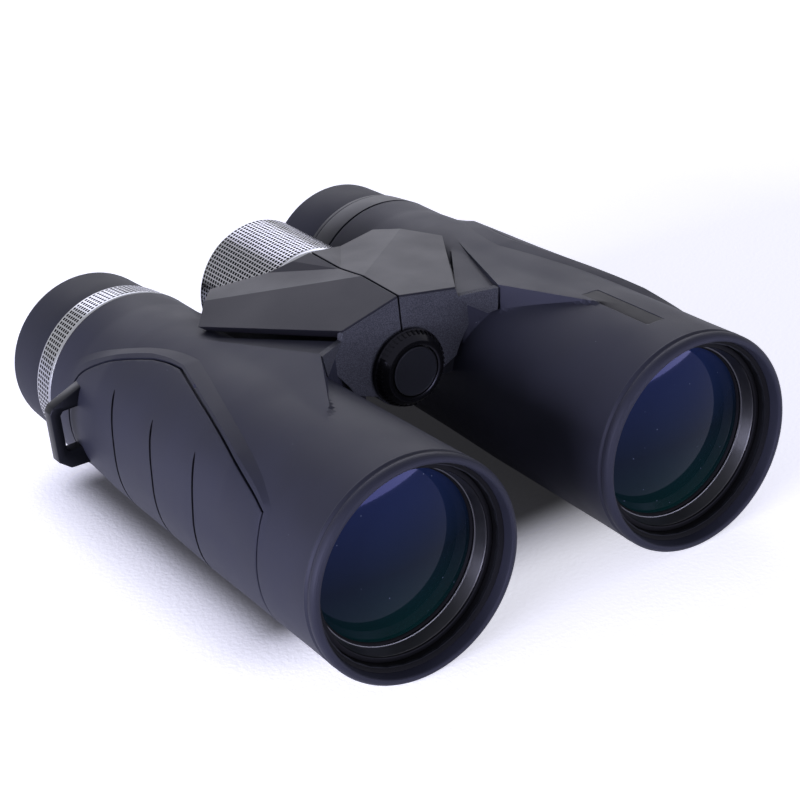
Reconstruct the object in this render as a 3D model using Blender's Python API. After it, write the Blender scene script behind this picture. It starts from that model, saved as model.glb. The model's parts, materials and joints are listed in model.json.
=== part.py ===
"""Roof-prism binoculars: two armoured barrels on a centre hinge, with a focus wheel.

The optical axes run along Y, with the objectives at -Y and the eyepieces at +Y.
X runs across, with the user's left barrel at +X, and the rims stand on Z = 0.
"""
import math

import bmesh
import bpy

# Overall sizes, in metres.
LENGTH = 0.151
SPACING = 0.0776
RIM_RADIUS = 0.0265
HINGE_RISE = 0.0138
GAP = 0.0003

# Rubber armour.
ARMOUR_WALL = 0.0022
RIM_ROUND = 0.0020
FRONT_TUBE_LENGTH = 0.045
SHOULDER_RADIUS = 0.0252
SHOULDER_SETBACK = 0.0245
WAIST_RADIUS = 0.0231
WAIST_LENGTH = 0.0095
PAD_DEPTH = 0.0010
PAD_FRONT_SETBACK = 0.0235
PAD_REAR_SETBACK = 0.0165
PAD_ANGLES = (-40, 46)
BADGE_FRONT_SETBACK = 0.014
BADGE_LENGTH = 0.024
BADGE_DEPTH = 0.0007
BADGE_ANGLES = (82, 96)

# Inner housing tube.
LIP_DEPTH = 0.0034
POCKET_WALL = 0.0008
POCKET_LENGTH = 0.0192
TUBE_WALL = 0.0020
GUIDE_WALL = 0.0022
HOUSING_WALL = 0.0017

# Objective.
SEAL_THICKNESS = 0.0006
CELL_SETBACK = 0.0060
CELL_WALL = 0.0010
RETAINER_LENGTH = 0.0035
RETAINER_EDGE = 0.0004
RETAINER_CONE = 0.0008
CROWN_EDGE = 0.0020
CROWN_FRONT_SAG = 0.0021
CROWN_REAR_SAG = 0.0015
FLINT_EDGE = 0.0036
FLINT_REAR_SAG = 0.0005
OBJECTIVE_SHELF = 0.0019

# Eyepiece, diopter ring and eyecup.
EYECUP_LENGTH = 0.0159
EYECUP_RADIUS = 0.0211
EYECUP_WALL = 0.0024
EYECUP_FLARE = 0.0008
EYECUP_LIP = 0.0027
EYECUP_MOUTH_RADIUS = 0.0155
SLEEVE_WALL = 0.0015
RING_WIDTH = 0.0088
RING_FRONT_RADIUS = 0.0232
RING_REAR_RADIUS = 0.0222
EYE_TUBE_RADIUS = 0.0186
EYE_TUBE_INSERT = 0.0220
EYE_TUBE_BORE = 0.0143
EYE_STOP_RADIUS = 0.0108
EYE_STOP_SETBACK = 0.0165
EYE_POCKET_DEPTH = 0.0075
EYE_LENS_EDGE = 0.0036
EYE_LENS_SAG = 0.0013
EYE_LENS_LEDGE = 0.0015
EYE_TUBE_RECESS = 0.0045
FIELD_CELL_LENGTH = 0.0080
FIELD_CELL_WALL = 0.0020
FIELD_LENS_EDGE = 0.0030
FIELD_LENS_SAG = 0.0012
DIOPTER_TRAVEL = 0.0008

# Bridge and hinge.
HINGE_SETBACK = 0.0673
PLATE_THICKNESS = 0.0018
KNUCKLE_RADIUS = 0.0100
KNUCKLE_FRONT_LENGTH = 0.0035
KNUCKLE_REAR_LENGTH = 0.0057
KNUCKLE_CLEARANCE = 0.0006
KNUCKLE_TAB = 0.7
GUARD_ANGLES = (-114, -16)
SLEEVE_RADIUS = 0.0070
SHAFT_RADIUS = 0.0030
SHAFT_NUT_LENGTH = 0.0024
ARM_ABOVE_HINGE = 0.0092
ARM_BELOW_HINGE = 0.0073
SEAM_HALF_GAP = 0.00025
COVER_THICKNESS = 0.0025
COVER_BOSS_RADIUS = 0.0025
PLATE_LOWER_EDGE = -64

# Focusing.
WHEEL_CLEARANCE = 0.00118
WHEEL_CUT = 0.0008
WHEEL_LENGTH = 0.0284
WHEEL_WALL = 0.0020
WHEEL_HUB_RADIUS = 0.0065
WHEEL_CAP_THICKNESS = 0.0018
WHEEL_SPACE = 0.0029
SCREW_RADIUS = 0.0050
CARRIAGE_LENGTH = 0.0060
CARRIAGE_RADIUS = 0.0084
CARRIAGE_GROOVE = 0.0015
GROOVE_WIDTH = 0.0026
FOCUS_TRAVEL = 0.0024
LEVER_HEIGHT = 0.0030
FOCUS_CELL_LENGTH = 0.0120
FOCUS_CELL_WALL = 0.0034
FOCUS_LENS_EDGE = 0.0042
FOCUS_LENS_SAG = 0.0010

# Prisms.
CAGE_WALL = 0.0017
CAGE_FLOOR = 0.0014
PRISM_HALF_WIDTH = 0.0115

# Tripod socket and its screw cap.
SOCKET_RADIUS = 0.0050
SOCKET_HOLE_RADIUS = 0.0033
SOCKET_LENGTH = 0.0070
CAP_FRONT_RADIUS = 0.0078
CAP_REAR_RADIUS = 0.0097
CAP_LENGTH = 0.0038
CAP_STANDOFF = 0.0005
CAP_DISC_RADIUS = 0.0060
CAP_DISC_DEPTH = 0.0012
STUD_LENGTH = 0.0038
STUD_FLANGE_RADIUS = 0.0048
STUD_FLANGE_LENGTH = 0.0010

# Strap lug.
LUG_SETBACK = 0.0152
LUG_THICKNESS = 0.0035
LUG_REACH = 0.0298
LUG_TOP = 0.0108
LUG_BOTTOM = -0.0090
LUG_BAR = 0.0026
LUG_SLOT_TOP = 0.0069
LUG_SLOT_BOTTOM = -0.0038

# Stations along Y that several pieces share.
FRONT = -LENGTH / 2
REAR = LENGTH / 2
RING_REAR = REAR - EYECUP_LENGTH - GAP
RING_FRONT = RING_REAR - RING_WIDTH
BODY_END = RING_FRONT - GAP
SHOULDER = BODY_END - SHOULDER_SETBACK
WAIST = BODY_END - WAIST_LENGTH
PLATE_FRONT = BODY_END - HINGE_SETBACK
ARM_FRONT = PLATE_FRONT + PLATE_THICKNESS + GAP
KNUCKLE_1 = ARM_FRONT
KNUCKLE_2 = KNUCKLE_1 + KNUCKLE_FRONT_LENGTH + GAP
CARRIAGE_SPACE = KNUCKLE_2 + KNUCKLE_FRONT_LENGTH
CARRIAGE_MIDDLE = CARRIAGE_SPACE + 0.0020 + FOCUS_TRAVEL + CARRIAGE_LENGTH / 2
KNUCKLE_3 = 2 * CARRIAGE_MIDDLE - CARRIAGE_SPACE
KNUCKLE_4 = KNUCKLE_3 + KNUCKLE_REAR_LENGTH + GAP
ARM_REAR = KNUCKLE_4 + KNUCKLE_REAR_LENGTH
WHEEL_FRONT = ARM_REAR + WHEEL_SPACE
WHEEL_REAR = WHEEL_FRONT + WHEEL_LENGTH
GUIDE_FRONT = CARRIAGE_MIDDLE - FOCUS_CELL_LENGTH / 2 - FOCUS_TRAVEL - 0.0010
GUIDE_REAR = CARRIAGE_MIDDLE + FOCUS_CELL_LENGTH / 2 + FOCUS_TRAVEL + 0.0010
CELL_FRONT = FRONT + CELL_SETBACK

# Places and radii that follow from them.
HINGE_HEIGHT = RIM_RADIUS + HINGE_RISE
HINGE_U = -SPACING / 2
HINGE_REACH = math.hypot(SPACING / 2, HINGE_RISE)
HOUSING_RADIUS = RIM_RADIUS - ARMOUR_WALL - GAP
POCKET_RADIUS = HOUSING_RADIUS - POCKET_WALL
CELL_RADIUS = POCKET_RADIUS - GAP
OPTIC_RADIUS = CELL_RADIUS - CELL_WALL - GAP
WHEEL_RADIUS = HINGE_REACH - (SHOULDER_RADIUS - ARMOUR_WALL) - WHEEL_CLEARANCE
ARM_INNER = KNUCKLE_RADIUS + KNUCKLE_CLEARANCE
TAB_HALF = KNUCKLE_RADIUS * KNUCKLE_TAB

# name: (red, green, blue), roughness, metallic
FINISHES = {
    "armour_rubber": ((0.018, 0.018, 0.022), 0.62, 0.0),
    "bridge_plastic": ((0.015, 0.015, 0.018), 0.55, 0.0),
    "housing_plastic": ((0.02, 0.02, 0.02), 0.5, 0.0),
    "eyecup_rubber": ((0.014, 0.014, 0.016), 0.6, 0.0),
    "black_metal": ((0.012, 0.012, 0.013), 0.35, 0.6),
    "silver_metal": ((0.62, 0.62, 0.66), 0.25, 1.0),
    "steel": ((0.45, 0.45, 0.46), 0.35, 1.0),
    "brass": ((0.55, 0.38, 0.14), 0.35, 1.0),
    "coated_glass": ((0.05, 0.05, 0.16), 0.03, 0.0),
    "prism_glass": ((0.75, 0.82, 0.85), 0.03, 0.0),
    "cap_plastic": ((0.008, 0.008, 0.009), 0.2, 0.0),
    "seal_rubber": ((0.01, 0.01, 0.01), 0.7, 0.0),
}


def clear_scene():
    for old in list(bpy.data.objects):
        bpy.data.objects.remove(old, do_unlink=True)


def finish(name):
    """Material with the given finish, made once."""
    material = bpy.data.materials.get(name)
    if material is None:
        colour, roughness, metallic = FINISHES[name]
        material = bpy.data.materials.new(name)
        material.use_nodes = True
        shader = material.node_tree.nodes["Principled BSDF"]
        shader.inputs["Base Color"].default_value = (*colour, 1.0)
        shader.inputs["Roughness"].default_value = roughness
        shader.inputs["Metallic"].default_value = metallic
    return material


def pivot(name, place, parent=None):
    """Empty on an axis, which pieces are parented to."""
    empty = bpy.data.objects.new(name, None)
    empty.location = place
    empty.parent = parent
    bpy.context.scene.collection.objects.link(empty)
    return empty


def add(name, bm, axis, side=1, material=None):
    """Object of a mesh made for the left side, mirrored for side -1; a cutter without a material."""
    if side < 0:
        bmesh.ops.scale(bm, vec=(-1, 1, 1), verts=bm.verts)
    bmesh.ops.recalc_face_normals(bm, faces=bm.faces)
    mesh = bpy.data.meshes.new(name)
    bm.to_mesh(mesh)
    bm.free()
    obj = bpy.data.objects.new(name, mesh)
    bpy.context.scene.collection.objects.link(obj)
    obj.parent = axis
    if material:
        mesh.materials.append(finish(material))
        mesh.shade_smooth()
        mesh.set_sharp_from_angle(angle=math.radians(30))
    else:
        obj.hide_render = True
        obj.display_type = "WIRE"
    return obj


def join(obj, tool, operation="DIFFERENCE"):
    modifier = obj.modifiers.new(tool.name, "BOOLEAN")
    modifier.object = tool
    modifier.operation = operation
    modifier.solver = "EXACT"


def lathe(profile, steps=32, centre=(0.0, 0.0)):
    """Solid turned about the Y axis through centre, from (radius, y) points.

    A profile that starts on the axis ends there too; any other is a closed loop, for a ring.
    """
    bm = bmesh.new()
    verts = [bm.verts.new((radius, y, 0.0)) for radius, y in profile]
    edges = [bm.edges.new(pair) for pair in zip(verts, verts[1:])]
    if profile[0][0] > 0:
        edges.append(bm.edges.new((verts[-1], verts[0])))
    bmesh.ops.spin(bm, geom=verts + edges, cent=(0, 0, 0), axis=(0, -1, 0), dvec=(0, 0, 0),
                   angle=2 * math.pi, steps=steps, use_merge=True, use_duplicate=False)
    bmesh.ops.remove_doubles(bm, verts=bm.verts, dist=1e-6)
    bmesh.ops.translate(bm, vec=(centre[0], 0, centre[1]), verts=bm.verts)
    return bm


def sector(profile, angles, steps=12, centre=(0.0, 0.0)):
    """Curved panel: a closed (radius, y) profile swept between two angles from the outer side."""
    start, end = (math.radians(angle) for angle in angles)
    bm = bmesh.new()
    verts = [bm.verts.new((radius * math.cos(start), y, radius * math.sin(start)))
             for radius, y in profile]
    face = bm.faces.new(verts)
    bmesh.ops.spin(bm, geom=[face], cent=(0, 0, 0), axis=(0, -1, 0), dvec=(0, 0, 0),
                   angle=end - start, steps=steps, use_merge=False, use_duplicate=False)
    bmesh.ops.translate(bm, vec=(centre[0], 0, centre[1]), verts=bm.verts)
    return bm


def slab(outline, y_front, y_rear):
    """Flat outline of (x, z) points, extruded along Y."""
    bm = bmesh.new()
    face = bm.faces.new([bm.verts.new((x, y_front, z)) for x, z in outline])
    extruded = bmesh.ops.extrude_face_region(bm, geom=[face])
    moved = [item for item in extruded["geom"] if isinstance(item, bmesh.types.BMVert)]
    bmesh.ops.translate(bm, vec=(0, y_rear - y_front, 0), verts=moved)
    return bm


def box(x_span, y_span, z_span):
    (x0, x1), (z0, z1) = x_span, z_span
    return slab([(x0, z0), (x1, z0), (x1, z1), (x0, z1)], *y_span)


def hull(points):
    bm = bmesh.new()
    verts = [bm.verts.new(point) for point in points]
    result = bmesh.ops.convex_hull(bm, input=verts)
    spare = [item for item in result["geom_interior"] if isinstance(item, bmesh.types.BMVert)]
    bmesh.ops.delete(bm, geom=spare, context="VERTS")
    return bm


def arc(radius, start, end, steps, centre=(0.0, 0.0)):
    """(x, z) points on an arc, angles in degrees."""
    points = []
    for step in range(steps + 1):
        angle = math.radians(start + (end - start) * step / steps)
        points.append((centre[0] + radius * math.cos(angle), centre[1] + radius * math.sin(angle)))
    return points


def lens(radius, y_front, y_rear, front_sag, rear_sag, rings=4):
    """Profile of a lens: its edge's two stations, and how far each face bulges at the axis."""
    front = [(radius * step / rings, y_front - front_sag * (1 - (step / rings) ** 2))
             for step in range(rings + 1)]
    rear = [(radius * step / rings, y_rear + rear_sag * (1 - (step / rings) ** 2))
            for step in range(rings, -1, -1)]
    return front + rear


def armour_profile(offset=0.0, over=0.0):
    """Outer line of the rubber armour, front to rear, moved in by offset and lengthened by over."""
    return [
        (RIM_RADIUS - offset, FRONT - over),
        (RIM_RADIUS - offset, FRONT + FRONT_TUBE_LENGTH),
        (SHOULDER_RADIUS - offset, SHOULDER),
        (WAIST_RADIUS - offset, WAIST),
        (WAIST_RADIUS - offset, BODY_END + over),
    ]


def armour_radius(y):
    points = armour_profile()
    for (r0, y0), (r1, y1) in zip(points, points[1:]):
        if y <= y1:
            return r0 + (r1 - r0) * (y - y0) / (y1 - y0)
    return WAIST_RADIUS


def on_axis(profile):
    """Close a line to the axis at both ends, for a solid."""
    return [(0.0, profile[0][1]), *profile, (0.0, profile[-1][1])]


def bridge_points():
    """Corners of the left half of the bridge cover, from the seam out to the barrel's top."""
    seam = SEAM_HALF_GAP + HINGE_U
    return {
        "seam_rear": (seam, BODY_END - 0.0296, 0.0315),
        "seam_dip": (seam, BODY_END - 0.0427, 0.0310),
        "seam_crest": (seam, BODY_END - 0.0527, 0.0325),
        "seam_front": (seam, PLATE_FRONT, 0.0317),
        "front_corner": (HINGE_U + 0.0162, PLATE_FRONT, 0.0289),
        "rear_upper": (-0.0148, BODY_END - 0.0205, 0.0267),
        "rear_lower": (-0.0100, BODY_END - 0.0261, 0.0276),
        "side_rear": (-0.0058, BODY_END - 0.0343, 0.0259),
    }


def build_armour(name, side, axis):
    """Rubber skin with its rolled rim, the fin beside the bridge, and cuts for what passes it."""
    outer = armour_profile()
    rim = [(RIM_RADIUS - RIM_ROUND * (1 - math.sin(turn)), FRONT + RIM_ROUND * (1 - math.cos(turn)))
           for turn in (0.0, math.pi / 6, math.pi / 3, math.pi / 2)]
    armour = add(f"{name}_armour", lathe(on_axis(rim + outer[1:])), axis, side, "armour_rubber")

    fin_rear = BODY_END - 0.0345
    fin_inner = BODY_END - 0.0719
    fin_outer = BODY_END - 0.0920
    root = RIM_RADIUS - ARMOUR_WALL / 2
    flank = [(point[0], fin_inner + 0.0007, point[1]) for point in arc(root, 90, 130, 3)]
    fin = add(f"{name}_fin", hull([
        (0.0002, fin_rear, 0.0240), (-0.0137, fin_inner, 0.0277), (-0.0028, fin_outer, 0.0264),
        (-0.0020, fin_outer, root - 0.001), (-0.0020, fin_rear, 0.0232), (-0.0090, fin_rear, 0.0220),
        *flank]), axis, side)
    join(armour, fin, "UNION")

    bore = add(f"{name}_armour_bore", lathe(on_axis(armour_profile(ARMOUR_WALL, 0.001))), axis, side)
    join(armour, bore)
    below = max(ARM_BELOW_HINGE, TAB_HALF) + GAP
    above = max(ARM_ABOVE_HINGE, TAB_HALF) + GAP
    window = add(f"{name}_armour_window", box(
        (HINGE_U, -0.006), (ARM_FRONT - GAP, ARM_REAR + GAP), (HINGE_RISE - below, HINGE_RISE + above)),
        axis, side)
    join(armour, window)
    wheel_cut = add(f"{name}_wheel_clearance", lathe(
        on_axis([(WHEEL_RADIUS + WHEEL_CUT, WHEEL_FRONT - WHEEL_CUT),
                 (WHEEL_RADIUS + WHEEL_CUT, BODY_END + 0.001)]),
        centre=(HINGE_U, HINGE_RISE)), axis, side)
    join(armour, wheel_cut)

    pad_front = FRONT + PAD_FRONT_SETBACK
    pad_rear = BODY_END - PAD_REAR_SETBACK
    build_inlay(f"{name}_grip_pad", armour, (pad_front, FRONT + FRONT_TUBE_LENGTH, SHOULDER, pad_rear),
                PAD_DEPTH, PAD_ANGLES, side, axis, "armour_rubber")
    return armour


def build_inlay(name, armour, stations, depth, angles, side, axis, material):
    """Curved panel set flush into the armour, with the recess it lies in."""
    outer = [(armour_radius(y), y) for y in stations]
    inner = [(radius - depth, y) for radius, y in reversed(outer)]
    add(name, sector(outer + inner, angles), axis, side, material)
    spread = math.degrees(GAP / RIM_RADIUS)
    cut_ends = (stations[0] - GAP, *stations[1:-1], stations[-1] + GAP)
    cut_outer = [(armour_radius(y) + 0.001, y) for y in cut_ends]
    cut_inner = [(radius - 0.001 - depth - GAP, y) for radius, y in reversed(cut_outer)]
    recess = add(f"{name}_recess", sector(cut_outer + cut_inner, (angles[0] - spread, angles[1] + spread)),
                 axis, side)
    join(armour, recess)


def knuckle_outline():
    """Hinge knuckle: a ring round the hinge axis with a tab that reaches into the arm."""
    centre = (HINGE_U, HINGE_RISE)
    tab = HINGE_U + ARM_INNER + 0.001
    ring = arc(KNUCKLE_RADIUS, 45, 315, 18, centre)
    return [(tab, HINGE_RISE - TAB_HALF), (tab, HINGE_RISE + TAB_HALF), *ring]


def build_housing(name, side, axis):
    """Moulded tube under the armour, with its hinge arm and two knuckles."""
    skin = ARMOUR_WALL + GAP
    outer = armour_profile(skin)
    outer[0] = (outer[0][0], FRONT + LIP_DEPTH)
    housing = add(f"{name}_housing", lathe(on_axis(outer)), axis, side, "housing_plastic")

    low, high = HINGE_RISE - ARM_BELOW_HINGE, HINGE_RISE + ARM_ABOVE_HINGE
    arm = add(f"{name}_arm", box((HINGE_U + ARM_INNER, -0.0072), (ARM_FRONT, ARM_REAR), (low, high)),
              axis, side)
    join(housing, arm, "UNION")
    starts = (KNUCKLE_1, KNUCKLE_3) if side > 0 else (KNUCKLE_2, KNUCKLE_4)
    lengths = (KNUCKLE_FRONT_LENGTH, KNUCKLE_REAR_LENGTH)
    bores = (SLEEVE_RADIUS + GAP, SCREW_RADIUS + GAP)
    for number, (start, length, bore) in enumerate(zip(starts, lengths, bores), 1):
        knuckle = add(f"{name}_knuckle_{number}", slab(knuckle_outline(), start, start + length), axis, side)
        join(housing, knuckle, "UNION")
        hole = add(f"{name}_knuckle_bore_{number}", lathe(
            on_axis([(bore, start - 0.001), (bore, start + length + 0.001)]), 24,
            (HINGE_U, HINGE_RISE)), axis, side)
        join(housing, hole)

    if side > 0:
        guard_inner = CARRIAGE_RADIUS + 2 * GAP
        guard = add("left_carriage_guard", sector(
            [(guard_inner, CARRIAGE_SPACE + GAP), (KNUCKLE_RADIUS, CARRIAGE_SPACE + GAP),
             (KNUCKLE_RADIUS, KNUCKLE_3 + 0.001), (guard_inner, KNUCKLE_3 + 0.001)],
            GUARD_ANGLES, 7, (HINGE_U, HINGE_RISE)), axis)
        join(housing, guard, "UNION")

    guide = HOUSING_RADIUS - TUBE_WALL
    line = [
        (POCKET_RADIUS, FRONT), (POCKET_RADIUS, FRONT + LIP_DEPTH + POCKET_LENGTH),
        (guide, FRONT + LIP_DEPTH + POCKET_LENGTH), (guide, GUIDE_FRONT),
        (guide_radius(), GUIDE_FRONT), (guide_radius(), GUIDE_REAR),
        (cage_bore(), GUIDE_REAR), (cage_bore(), SHOULDER),
        (EYE_TUBE_RADIUS + GAP, WAIST), (EYE_TUBE_RADIUS + GAP, BODY_END + 0.001),
    ]
    bore = add(f"{name}_housing_bore", lathe(on_axis(line)), axis, side)
    join(housing, bore)
    slot = add(f"{name}_lever_slot", box(
        (HINGE_U, -0.010), (CARRIAGE_SPACE + GAP, KNUCKLE_3 - GAP),
        (HINGE_RISE - LEVER_HEIGHT / 2 - GAP, HINGE_RISE + LEVER_HEIGHT / 2 + GAP)), axis, side)
    join(housing, slot)


def guide_radius():
    """Bore in which the focusing cell slides."""
    return armour_radius(GUIDE_REAR) - ARMOUR_WALL - GAP - GUIDE_WALL


def cage_bore():
    return SHOULDER_RADIUS - ARMOUR_WALL - GAP - HOUSING_WALL


def build_objective(name, side, axis):
    """Cell with a cemented pair, the cone ring that holds it, and a flat seal in front."""
    pocket = CELL_RADIUS - CELL_WALL
    cell_rear = FRONT + LIP_DEPTH + POCKET_LENGTH - GAP
    crown_front = CELL_FRONT + RETAINER_LENGTH + GAP
    crown_rear = crown_front + CROWN_EDGE
    flint_front = crown_rear + GAP
    flint_rear = flint_front + FLINT_EDGE
    shelf = flint_rear + GAP
    add(f"{name}_objective_cell", lathe([
        (CELL_RADIUS, CELL_FRONT), (CELL_RADIUS, cell_rear), (OPTIC_RADIUS - OBJECTIVE_SHELF, cell_rear),
        (OPTIC_RADIUS - OBJECTIVE_SHELF, shelf), (pocket, shelf), (pocket, CELL_FRONT)]),
        axis, side, "black_metal")
    add(f"{name}_objective_ring", lathe([
        (OPTIC_RADIUS, CELL_FRONT), (OPTIC_RADIUS, CELL_FRONT + RETAINER_LENGTH),
        (OPTIC_RADIUS - RETAINER_EDGE - RETAINER_CONE, CELL_FRONT + RETAINER_LENGTH),
        (OPTIC_RADIUS - RETAINER_EDGE, CELL_FRONT)]), axis, side, "steel")
    add(f"{name}_objective_seal", lathe([
        (CELL_RADIUS, CELL_FRONT - GAP - SEAL_THICKNESS), (CELL_RADIUS, CELL_FRONT - GAP),
        (OPTIC_RADIUS, CELL_FRONT - GAP), (OPTIC_RADIUS, CELL_FRONT - GAP - SEAL_THICKNESS)], 24),
        axis, side, "seal_rubber")
    add(f"{name}_objective_crown", lathe(
        lens(OPTIC_RADIUS, crown_front, crown_rear, CROWN_FRONT_SAG, CROWN_REAR_SAG)),
        axis, side, "coated_glass")
    add(f"{name}_objective_flint", lathe(
        lens(OPTIC_RADIUS, flint_front, flint_rear, -CROWN_REAR_SAG, -FLINT_REAR_SAG, 2), 24),
        axis, side, "coated_glass")


def build_focus_cell(name, side, axis):
    """Sliding cell of the focusing lens, with the lever that the carriage moves."""
    outer = guide_radius() - GAP
    inner = outer - FOCUS_CELL_WALL
    front = CARRIAGE_MIDDLE - FOCUS_CELL_LENGTH / 2
    rear = CARRIAGE_MIDDLE + FOCUS_CELL_LENGTH / 2
    cell = add(f"{name}_focus_cell", lathe([
        (outer, front), (outer, rear), (inner - 0.0015, rear), (inner - 0.0015, rear - 0.002),
        (inner, rear - 0.002), (inner, front)], 24), axis, side, "black_metal")
    middle = (outer + inner) / 2
    lever_end = -math.sqrt(middle ** 2 - HINGE_RISE ** 2)
    lever_tip = HINGE_U + CARRIAGE_RADIUS - CARRIAGE_GROOVE + GAP
    half_width = GROOVE_WIDTH / 2 - GAP
    lever = add(f"{name}_focus_lever", box(
        (lever_tip, lever_end), (CARRIAGE_MIDDLE - half_width, CARRIAGE_MIDDLE + half_width),
        (HINGE_RISE - LEVER_HEIGHT / 2, HINGE_RISE + LEVER_HEIGHT / 2)), axis, side)
    join(cell, lever, "UNION")
    lens_rear = rear - 0.002 - GAP
    add(f"{name}_focus_lens", lathe(
        lens(inner - GAP, lens_rear - FOCUS_LENS_EDGE, lens_rear, -FOCUS_LENS_SAG, -FOCUS_LENS_SAG, 2), 24),
        axis, side, "prism_glass")


def build_prisms(name, side, axis):
    """Cup-shaped cage with a half prism and a roof prism, which turn the picture upright."""
    outer = cage_bore() - GAP
    front = GUIDE_REAR + GAP
    rear = SHOULDER
    inner = outer - CAGE_WALL
    add(f"{name}_prism_cage", lathe([
        (outer, front), (outer, rear), (inner, rear), (inner, front + CAGE_FLOOR),
        (PRISM_HALF_WIDTH, front + CAGE_FLOOR), (PRISM_HALF_WIDTH, front)], 24),
        axis, side, "housing_plastic")
    start = front + CAGE_FLOOR + GAP
    length = rear - start
    split = start + length * 0.36
    tilt = length * 0.18
    half = PRISM_HALF_WIDTH
    depth = inner * 0.78
    across = min(half, math.sqrt(inner ** 2 - depth ** 2) - GAP)
    add(f"{name}_half_prism", hull([
        (x, y, z) for x in (-across, across)
        for y, z in ((start, -depth), (start, depth), (split - tilt, -depth), (split + tilt, depth))]),
        axis, side, "prism_glass")
    roof = split + 2 * GAP
    add(f"{name}_roof_prism", hull(
        [(x, y, z) for x in (-across, across)
         for y, z in ((roof - tilt, -depth), (roof + tilt, depth), (rear, -depth * 0.7))]
        + [(0.0, rear - tilt, depth), (0.0, rear, depth * 0.6)]), axis, side, "prism_glass")


def build_eyepiece(name, side, axis):
    """Eyepiece tube with its two lens groups."""
    front = BODY_END - EYE_TUBE_INSERT
    rear = REAR - EYE_TUBE_RECESS
    neck = EYECUP_RADIUS - EYECUP_WALL - SLEEVE_WALL - 2 * GAP
    stop = rear - EYE_STOP_SETBACK
    shelf = rear - EYE_POCKET_DEPTH
    pocket = EYE_STOP_RADIUS + EYE_LENS_LEDGE
    add(f"{name}_eyepiece_tube", lathe([
        (EYE_TUBE_RADIUS, front), (EYE_TUBE_RADIUS, RING_REAR), (neck, RING_REAR), (neck, rear),
        (pocket, rear), (pocket, shelf), (EYE_STOP_RADIUS, shelf), (EYE_STOP_RADIUS, stop),
        (EYE_TUBE_BORE, stop), (EYE_TUBE_BORE, front)]), axis, side, "black_metal")
    lens_front = shelf + GAP
    lens_rear = lens_front + EYE_LENS_EDGE
    add(f"{name}_eye_lens", lathe(
        lens(pocket - GAP, lens_front, lens_rear, 0.0, EYE_LENS_SAG, 3), 24), axis, side, "coated_glass")
    add(f"{name}_eye_lens_ring", lathe([
        (pocket - GAP, lens_rear + GAP), (pocket - GAP, rear),
        (EYE_STOP_RADIUS + 0.0004, rear), (EYE_STOP_RADIUS - 0.0002, lens_rear + GAP)], 24),
        axis, side, "black_metal")

    cell = EYE_TUBE_BORE - GAP
    cell_front = front + 2 * DIOPTER_TRAVEL
    cell_rear = cell_front + FIELD_CELL_LENGTH
    ledge = cell - FIELD_CELL_WALL
    add(f"{name}_field_cell", lathe([
        (cell, cell_front), (cell, cell_rear), (ledge - 0.0015, cell_rear),
        (ledge - 0.0015, cell_rear - 0.002), (ledge, cell_rear - 0.002), (ledge, cell_front)], 20),
        axis, side, "black_metal")
    field_rear = cell_rear - 0.002 - GAP
    add(f"{name}_field_lens", lathe(
        lens(ledge - GAP, field_rear - FIELD_LENS_EDGE, field_rear, FIELD_LENS_SAG, 0.0, 2), 20),
        axis, side, "prism_glass")

    ring = "left_eyepiece_band" if side > 0 else "right_diopter_ring"
    bore = EYE_TUBE_RADIUS + GAP
    add(ring, lathe([
        (RING_FRONT_RADIUS, RING_FRONT), (RING_REAR_RADIUS, RING_REAR),
        (bore, RING_REAR), (bore, RING_FRONT)]), axis, side,
        "eyecup_rubber" if side > 0 else "silver_metal")


def build_eyecup(name, side, axis):
    """Twist-up eyecup: a rubber cup that turns on a sliding sleeve."""
    front = RING_REAR + GAP
    bore = EYECUP_RADIUS - EYECUP_WALL
    add(f"{name}_eyecup", lathe([
        (bore, front), (EYECUP_RADIUS + EYECUP_FLARE, front),
        (EYECUP_RADIUS, front + EYECUP_LENGTH * 0.4), (EYECUP_RADIUS, REAR - 0.0012),
        (EYECUP_RADIUS - 0.0004, REAR - 0.0004), (EYECUP_RADIUS - 0.0012, REAR),
        (EYECUP_MOUTH_RADIUS + 0.0008, REAR), (EYECUP_MOUTH_RADIUS, REAR - 0.0008),
        (EYECUP_MOUTH_RADIUS, REAR - EYECUP_LIP), (bore, REAR - EYECUP_LIP)]),
        axis, side, "eyecup_rubber")
    outer = bore - GAP
    add(f"{name}_eyecup_sleeve", lathe([
        (outer, front + GAP), (outer, REAR - EYECUP_LIP - GAP),
        (outer - SLEEVE_WALL, REAR - EYECUP_LIP - GAP), (outer - SLEEVE_WALL, front + GAP)], 24),
        axis, side, "housing_plastic")


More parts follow.
